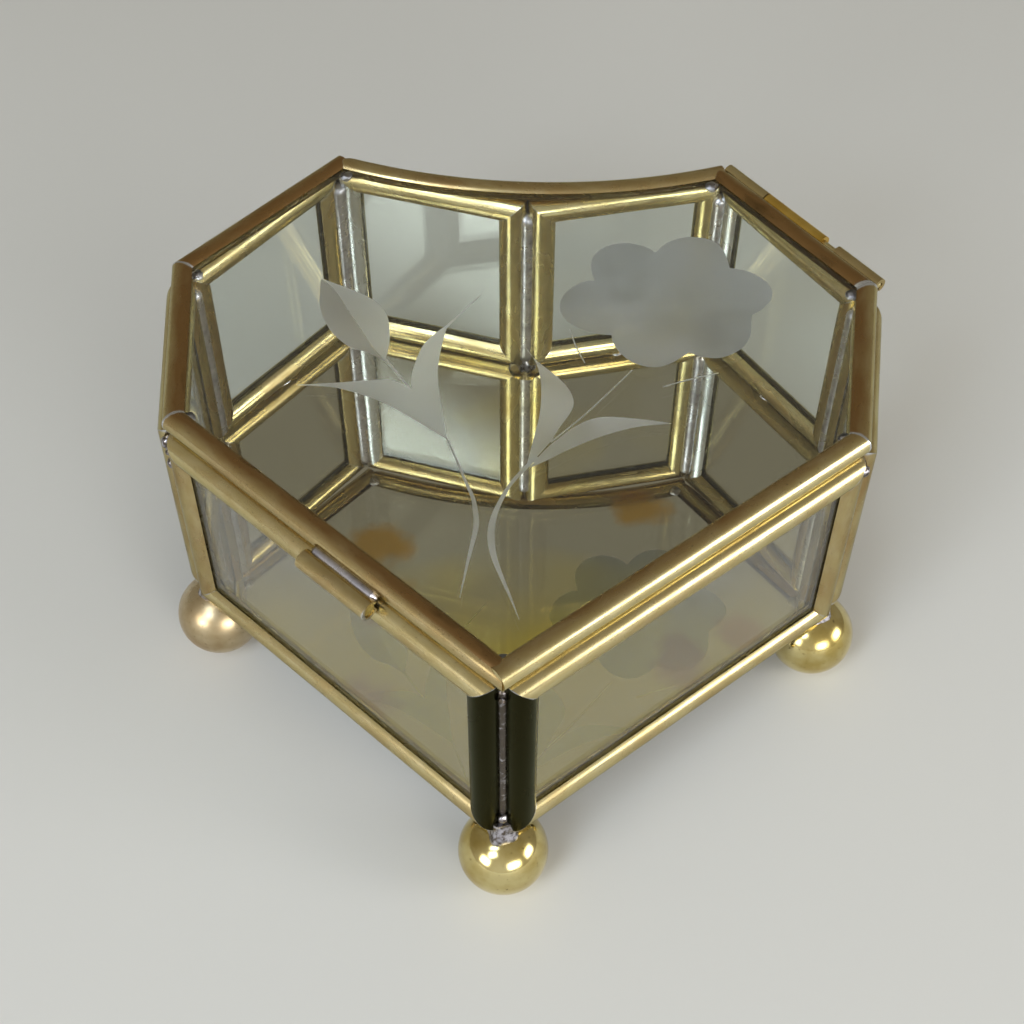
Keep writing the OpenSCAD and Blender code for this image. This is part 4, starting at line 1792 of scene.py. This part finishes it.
@dataclass
class FlowerSpray:
    """Frosted spray on the lid glass: a bloom, a bud, leaves and two stems."""

    glass_top: float = 52.2
    lift: float = 0.005
    depth: float = 0.03
    full: SandblastedGlass = SandblastedGlass()
    thin: SandblastedGlass = SandblastedGlass("sandblasted_glass_thin", "#CDD0D1")
    shade: SandblastedGlass = SandblastedGlass("sandblasted_glass_shaded", "#D2D2CE")

    def shapes(self) -> list[FrostedShape]:
        """The filled shapes of the spray.

        Returns:
            The shapes, with their outlines in plan.
        """
        return [
            FrostedShape("bloom", (
                ((10.3, 22.3), (8.6, 21.9), (7.0, 20.6), (5.9, 19.0), (5.4, 17.0), (5.75, 15.2),
                 (6.8, 13.6), (8.5, 12.4), (10.5, 11.7), (12.75, 11.5)),
                ((12.75, 11.5), (13.0, 10.0), (13.9, 8.2), (15.3, 6.7), (17.1, 5.8), (19.2, 5.7),
                 (21.0, 6.5), (22.5, 7.75), (23.5, 8.6)),
                ((23.5, 8.6), (25.2, 7.9), (27.3, 7.7), (29.3, 8.5), (31.0, 10.0), (32.0, 12.0),
                 (32.3, 14.0), (32.4, 16.2)),
                ((32.4, 16.2), (34.0, 17.5), (35.2, 19.2), (35.6, 20.8), (35.0, 22.7),
                 (33.7, 24.2), (32.0, 25.2), (29.7, 25.7)),
                ((29.7, 25.7), (29.4, 27.5), (28.9, 29.3), (28.0, 30.8), (26.5, 31.7),
                 (24.5, 32.0), (22.5, 31.6), (20.7, 30.5), (19.0, 28.4)),
                ((19.0, 28.4), (18.0, 29.3), (16.5, 30.0), (14.7, 30.3), (12.8, 29.9),
                 (11.2, 28.9), (10.1, 27.3), (9.7, 25.4), (9.9, 23.8), (10.3, 22.3)),
            )),
            FrostedShape("bud_shade", (
                ((-28.9, 20.9), (-28.8, 18.2), (-28.4, 15.1), (-27.2, 12.0), (-25.7, 9.7),
                 (-23.4, 7.6), (-20.9, 6.7), (-18.4, 5.2)),
                ((-18.4, 5.2), (-20.1, 7.4), (-22.8, 12.0), (-24.9, 15.6), (-26.9, 18.9),
                 (-28.9, 20.9)),
            )),
            FrostedShape("bud_light", (
                ((-28.8, 20.95), (-26.86, 18.93), (-24.86, 15.63), (-22.76, 12.03), (-20.06, 7.43),
                 (-18.36, 5.23)),
                ((-18.36, 5.23), (-18.1, 7.5), (-18.1, 9.7), (-18.6, 13.2), (-19.6, 15.4),
                 (-21.5, 17.3), (-24.3, 18.9), (-28.8, 20.95)),
            )),
            FrostedShape("left_leaves", (
                ((-10.1, 12.6), (-11.2, 11.5), (-12.3, 10.1), (-13.4, 8.2), (-14.1, 5.4),
                 (-14.5, 2.6), (-14.3, 0.1)),
                ((-14.3, 0.1), (-16.4, 1.4), (-18.4, 1.7), (-21.5, 1.3), (-25.0, 0.8),
                 (-30.0, 0.2)),
                ((-30.0, 0.2), (-25.5, 0.1), (-23.0, -0.5), (-20.6, -1.3), (-17.6, -2.7),
                 (-14.5, -4.7), (-11.5, -6.8), (-9.0, -8.6)),
                ((-9.0, -8.6), (-9.7, -4.9), (-10.3, -1.5), (-10.8, 1.6), (-11.0, 4.1),
                 (-10.9, 6.7), (-10.7, 9.0), (-10.4, 11.2), (-10.1, 12.6)),
            )),
            FrostedShape("right_leaf_upper", (
                ((0.4, 9.3), (1.8, 6.9), (3.4, 5.2), (5.4, 3.2), (7.0, 1.0), (7.7, -1.1),
                 (7.4, -3.0), (5.9, -6.0), (4.8, -8.4), (3.2, -11.0), (1.7, -13.0)),
                ((1.7, -13.0), (2.5, -8.2), (3.1, -4.5), (3.3, -1.1), (3.1, 2.8), (2.2, 6.2),
                 (0.4, 9.3)),
            )),
            FrostedShape("right_leaf_side", (
                ((20.8, -4.6), (17.8, -4.15), (15.1, -3.9), (12.4, -3.8), (10.4, -4.2),
                 (8.1, -5.6), (6.2, -7.5), (3.9, -10.2), (2.2, -13.1)),
                ((2.2, -13.1), (4.0, -12.0), (7.0, -9.9), (10.1, -8.0), (13.2, -6.5),
                 (16.6, -5.3), (20.8, -4.6)),
            )),
        ]

    def lines(self) -> list[FrostedLine]:
        """The stems and fine lines of the spray.

        Returns:
            The lines, with their points in plan and their widths.
        """
        return [
            FrostedLine("left_tendril", ((-5.8, 18.8), (-8.1, 15.4), (-10.5, 11.9)),
                        (0.06, 0.2, 0.45)),
            FrostedLine("bud_stem", ((-18.6, 5.8), (-17.2, 3.9), (-14.4, 0.0)), (0.5, 0.3, 0.2)),
            FrostedLine("left_stem", (
                (-9.2, -8.0), (-7.6, -11.9), (-6.1, -15.7), (-5.0, -18.4), (-4.5, -20.8),
                (-4.3, -23.0), (-4.6, -25.7), (-5.1, -29.2), (-5.7, -34.3)),
                (0.15, 0.25, 0.35, 0.5, 0.65, 0.7, 0.55, 0.35, 0.08)),
            FrostedLine("right_stem", (
                (3.1, -11.2), (1.3, -13.6), (-0.3, -16.2), (-1.6, -19.5), (-2.25, -22.4),
                (-2.3, -25.0), (-1.8, -27.9), (-0.7, -31.0), (0.5, -34.0), (1.7, -37.3)),
                (0.5, 0.55, 0.45, 0.6, 0.85, 0.95, 0.75, 0.5, 0.3, 0.06)),
            FrostedLine("bloom_stem", ((4.8, -8.6), (9.5, -3.2), (15.6, 4.9)), (0.25, 0.16, 0.12)),
            FrostedLine("sepal_left", ((6.9, 12.4), (7.8, 9.2), (9.1, 6.0)), (0.1, 0.22, 0.12)),
            FrostedLine("sepal_right", ((19.8, 2.0), (23.4, 3.5), (27.4, 4.9)), (0.16, 0.2, 0.08)),
        ]

    def build(self) -> None:
        """Builds and dresses every shape and line."""
        low = self.glass_top + self.lift
        for shape in [*self.shapes(), *self.lines()]:
            outline = [Vector((x, y, 0.0)) for x, y in shape.outline()]
            befores = outline[-1:] + outline[:-1]
            if sum(p.x * q.y - q.x * p.y for p, q in zip(outline, befores)) > 0:
                outline.reverse()
            form, n = Form(), len(outline)
            for z in (low, low + self.depth):
                for p in outline:
                    form.add(p + UP * z, Vector((p.x, p.y, 0.0)), 0.0, 0.0)
            for a, b, c in tessellate_polygon([outline]):
                turn = (outline[b] - outline[a]).cross(outline[c] - outline[a]).z
                up = (a, b, c) if turn > 0 else (a, c, b)
                form.faces.append(tuple(n + k for k in up))
                form.faces.append(tuple(reversed(up)))
            for k in range(n):
                k2 = (k + 1) % n
                form.faces.append((k, k2, n + k2, n + k))
            finish = {"bloom": self.thin, "bud_shade": self.shade}.get(shape.name, self.full)
            form.piece(f"frost_{shape.name}", LID, "clear_glass", [], finish)


# ---------------------------------------------------------------------------------------------
# Studio
# ---------------------------------------------------------------------------------------------


@dataclass(frozen=True)
class Softbox:
    """A square lamp with a cloth front, aimed at the box."""

    name: str
    azimuth: float
    elevation: float
    away: float
    width: float
    height: float
    glow: float
    colour: str = "#FFFFFF"
    roll: float = 0.0

    def build(self, target: Vector) -> None:
        """Hangs the lamp; the azimuth is 0 behind the camera and grows to the right.

        Args:
            target: Point that it is aimed at, in metres.
        """
        a, e = math.radians(self.azimuth), math.radians(self.elevation)
        d = Vector((math.sin(a) * math.cos(e), -math.cos(a) * math.cos(e), math.sin(e)))
        lamp = bpy.data.lights.new(self.name, "AREA")
        lamp.shape = "RECTANGLE"
        lamp.size, lamp.size_y = self.width, self.height
        lamp.energy = self.glow * math.pi * self.width * self.height
        lamp.color = linear(self.colour)[:3]
        self.fade(lamp)
        made = bpy.data.objects.new(self.name, lamp)
        made.location = target + d * self.away
        roll = Matrix.Rotation(math.radians(self.roll), 3, "Z")
        made.rotation_euler = (d.to_track_quat("Z", "Y").to_matrix() @ roll).to_euler()
        bpy.context.scene.collection.objects.link(made)

    def fade(self, lamp: bpy.types.Light) -> None:
        """Lets the cloth glow most in its middle and fade to its edges.

        Args:
            lamp: The lamp.
        """
        lamp.use_nodes = True
        tree = lamp.node_tree
        tree.nodes.clear()
        place = add_node(tree, "ShaderNodeNewGeometry").outputs["Parametric"]
        split = add_node(tree, "ShaderNodeSeparateXYZ", {}, {"Vector": place})
        shares = []
        for axis in ("X", "Y"):
            off = add_node(
                tree, "ShaderNodeMath", {"operation": "SUBTRACT", 1: 0.5}, {0: split.outputs[axis]}
            )
            far = add_node(tree, "ShaderNodeMath", {"operation": "ABSOLUTE"}, {0: off})
            shares.append(add_node(
                tree, "ShaderNodeMapRange",
                {"From Min": 0.5, "From Max": 0.1, "interpolation_type": "SMOOTHSTEP"},
                {"Value": far},
            ))
        share = add_node(
            tree, "ShaderNodeMath", {"operation": "MULTIPLY"}, {0: shares[0], 1: shares[1]}
        )
        glow = add_node(tree, "ShaderNodeEmission", {}, {"Strength": share})
        add_node(tree, "ShaderNodeOutputLight", {}, {"Surface": glow})


@dataclass
class Studio:
    """Pale table, soft lamps, a plain room and the camera."""

    # The camera: focal length, place in millimetres, and its right and upward directions
    focal: float = 61.02
    sensor: float = 36.0
    place: tuple[float, float, float] = (5.4156, -159.0153, 225.9983)
    right: tuple[float, float, float] = (0.9991691, 0.04069537, 0.00223661)
    up: tuple[float, float, float] = (-0.03321679, 0.78129706, 0.62327486)
    # Side of the table and the point that the lamps are aimed at, in metres
    table: float = 3.0
    target: tuple[float, float, float] = (0.0, 0.0, 0.03)
    # Name, azimuth, elevation, distance, width, height, glow, colour and roll
    lamps: tuple[Softbox, ...] = (
        Softbox("window_left", -42.0, 15.0, 0.7, 0.4, 0.3, 11.5),
        Softbox("window_middle", 28.0, 13.0, 0.7, 0.5, 0.28, 13.0),
        Softbox("window_right", 74.0, 15.0, 0.7, 0.42, 0.3, 12.5),
        Softbox("key_low", -31.0, 38.0, 0.9, 0.46, 0.3, 11.0, "#E2F0FF", 38.0),
        Softbox("key_high", -38.0, 53.5, 0.9, 0.46, 0.18, 11.0, "#E2F0FF", 38.0),
    )

    def build(self) -> None:
        """Sets the whole studio up."""
        half = self.table / 2
        mesh = bpy.data.meshes.new("table_top")
        mesh.from_pydata([(-half, -half, 0), (half, -half, 0), (half, half, 0), (-half, half, 0)],
                         [], [(0, 1, 2, 3)])
        mesh.materials.append(TablePaper().material())
        top = bpy.data.objects.new("table_top", mesh)
        bpy.context.scene.collection.objects.link(top)
        for lamp in self.lamps:
            lamp.build(Vector(self.target))
        self.room()
        self.camera()

    def room(self) -> None:
        """Paints the room: dim behind the box, lighter overhead and towards the windows."""
        world = bpy.data.worlds.new("room")
        world.use_nodes = True
        tree = world.node_tree
        tree.nodes.clear()
        way = add_node(tree, "ShaderNodeTexCoord").outputs["Generated"]
        back = add_node(tree, "ShaderNodeSeparateXYZ", {}, {"Vector": way}).outputs["Y"]
        front = add_node(
            tree, "ShaderNodeMapRange", {"From Min": 1.0, "From Max": -1.0}, {"Value": back}
        )
        colour = add_node(
            tree, "ShaderNodeValToRGB",
            {"stops": ((0.0, "#8E8A80"), (0.2, "#8F897C"), (0.5, "#9C9688"), (0.82, "#BDB9AE"),
                       (1.0, "#D6D5D0"))},
            {"Fac": front},
        )
        light = add_node(tree, "ShaderNodeBackground", {"Strength": 1.0}, {"Color": colour})
        add_node(tree, "ShaderNodeOutputWorld", {}, {"Surface": light})
        bpy.context.scene.world = world

    def camera(self) -> None:
        """Places the camera in front of the box, looking down into it."""
        data = bpy.data.cameras.new("camera")
        data.lens = self.focal
        data.sensor_width = self.sensor
        data.clip_start = 0.01
        made = bpy.data.objects.new("camera", data)
        right, up = Vector(self.right), Vector(self.up)
        axes = Matrix((right, up, right.cross(up))).transposed().to_4x4()
        made.matrix_world = Matrix.Translation(Vector(self.place) * MM) @ axes
        bpy.context.scene.collection.objects.link(made)
        bpy.context.scene.camera = made


def main() -> None:
    """Builds the box around its CAD solids, and the studio round the box."""
    logging.basicConfig(level=logging.INFO, format="%(message)s")
    bpy.context.scene.view_settings.view_transform = "Standard"
    Walls().build()
    CornerSeams().build()
    MirrorFloor().build()
    BallFeet().build()
    LidRim().build()
    dress("lid_pane", FloatGlass())
    LidSolder().build()
    Hinge().build()
    ThumbTab().build()
    FlowerSpray().build()
    Studio().build()


if __name__ == "__main__":
    main()
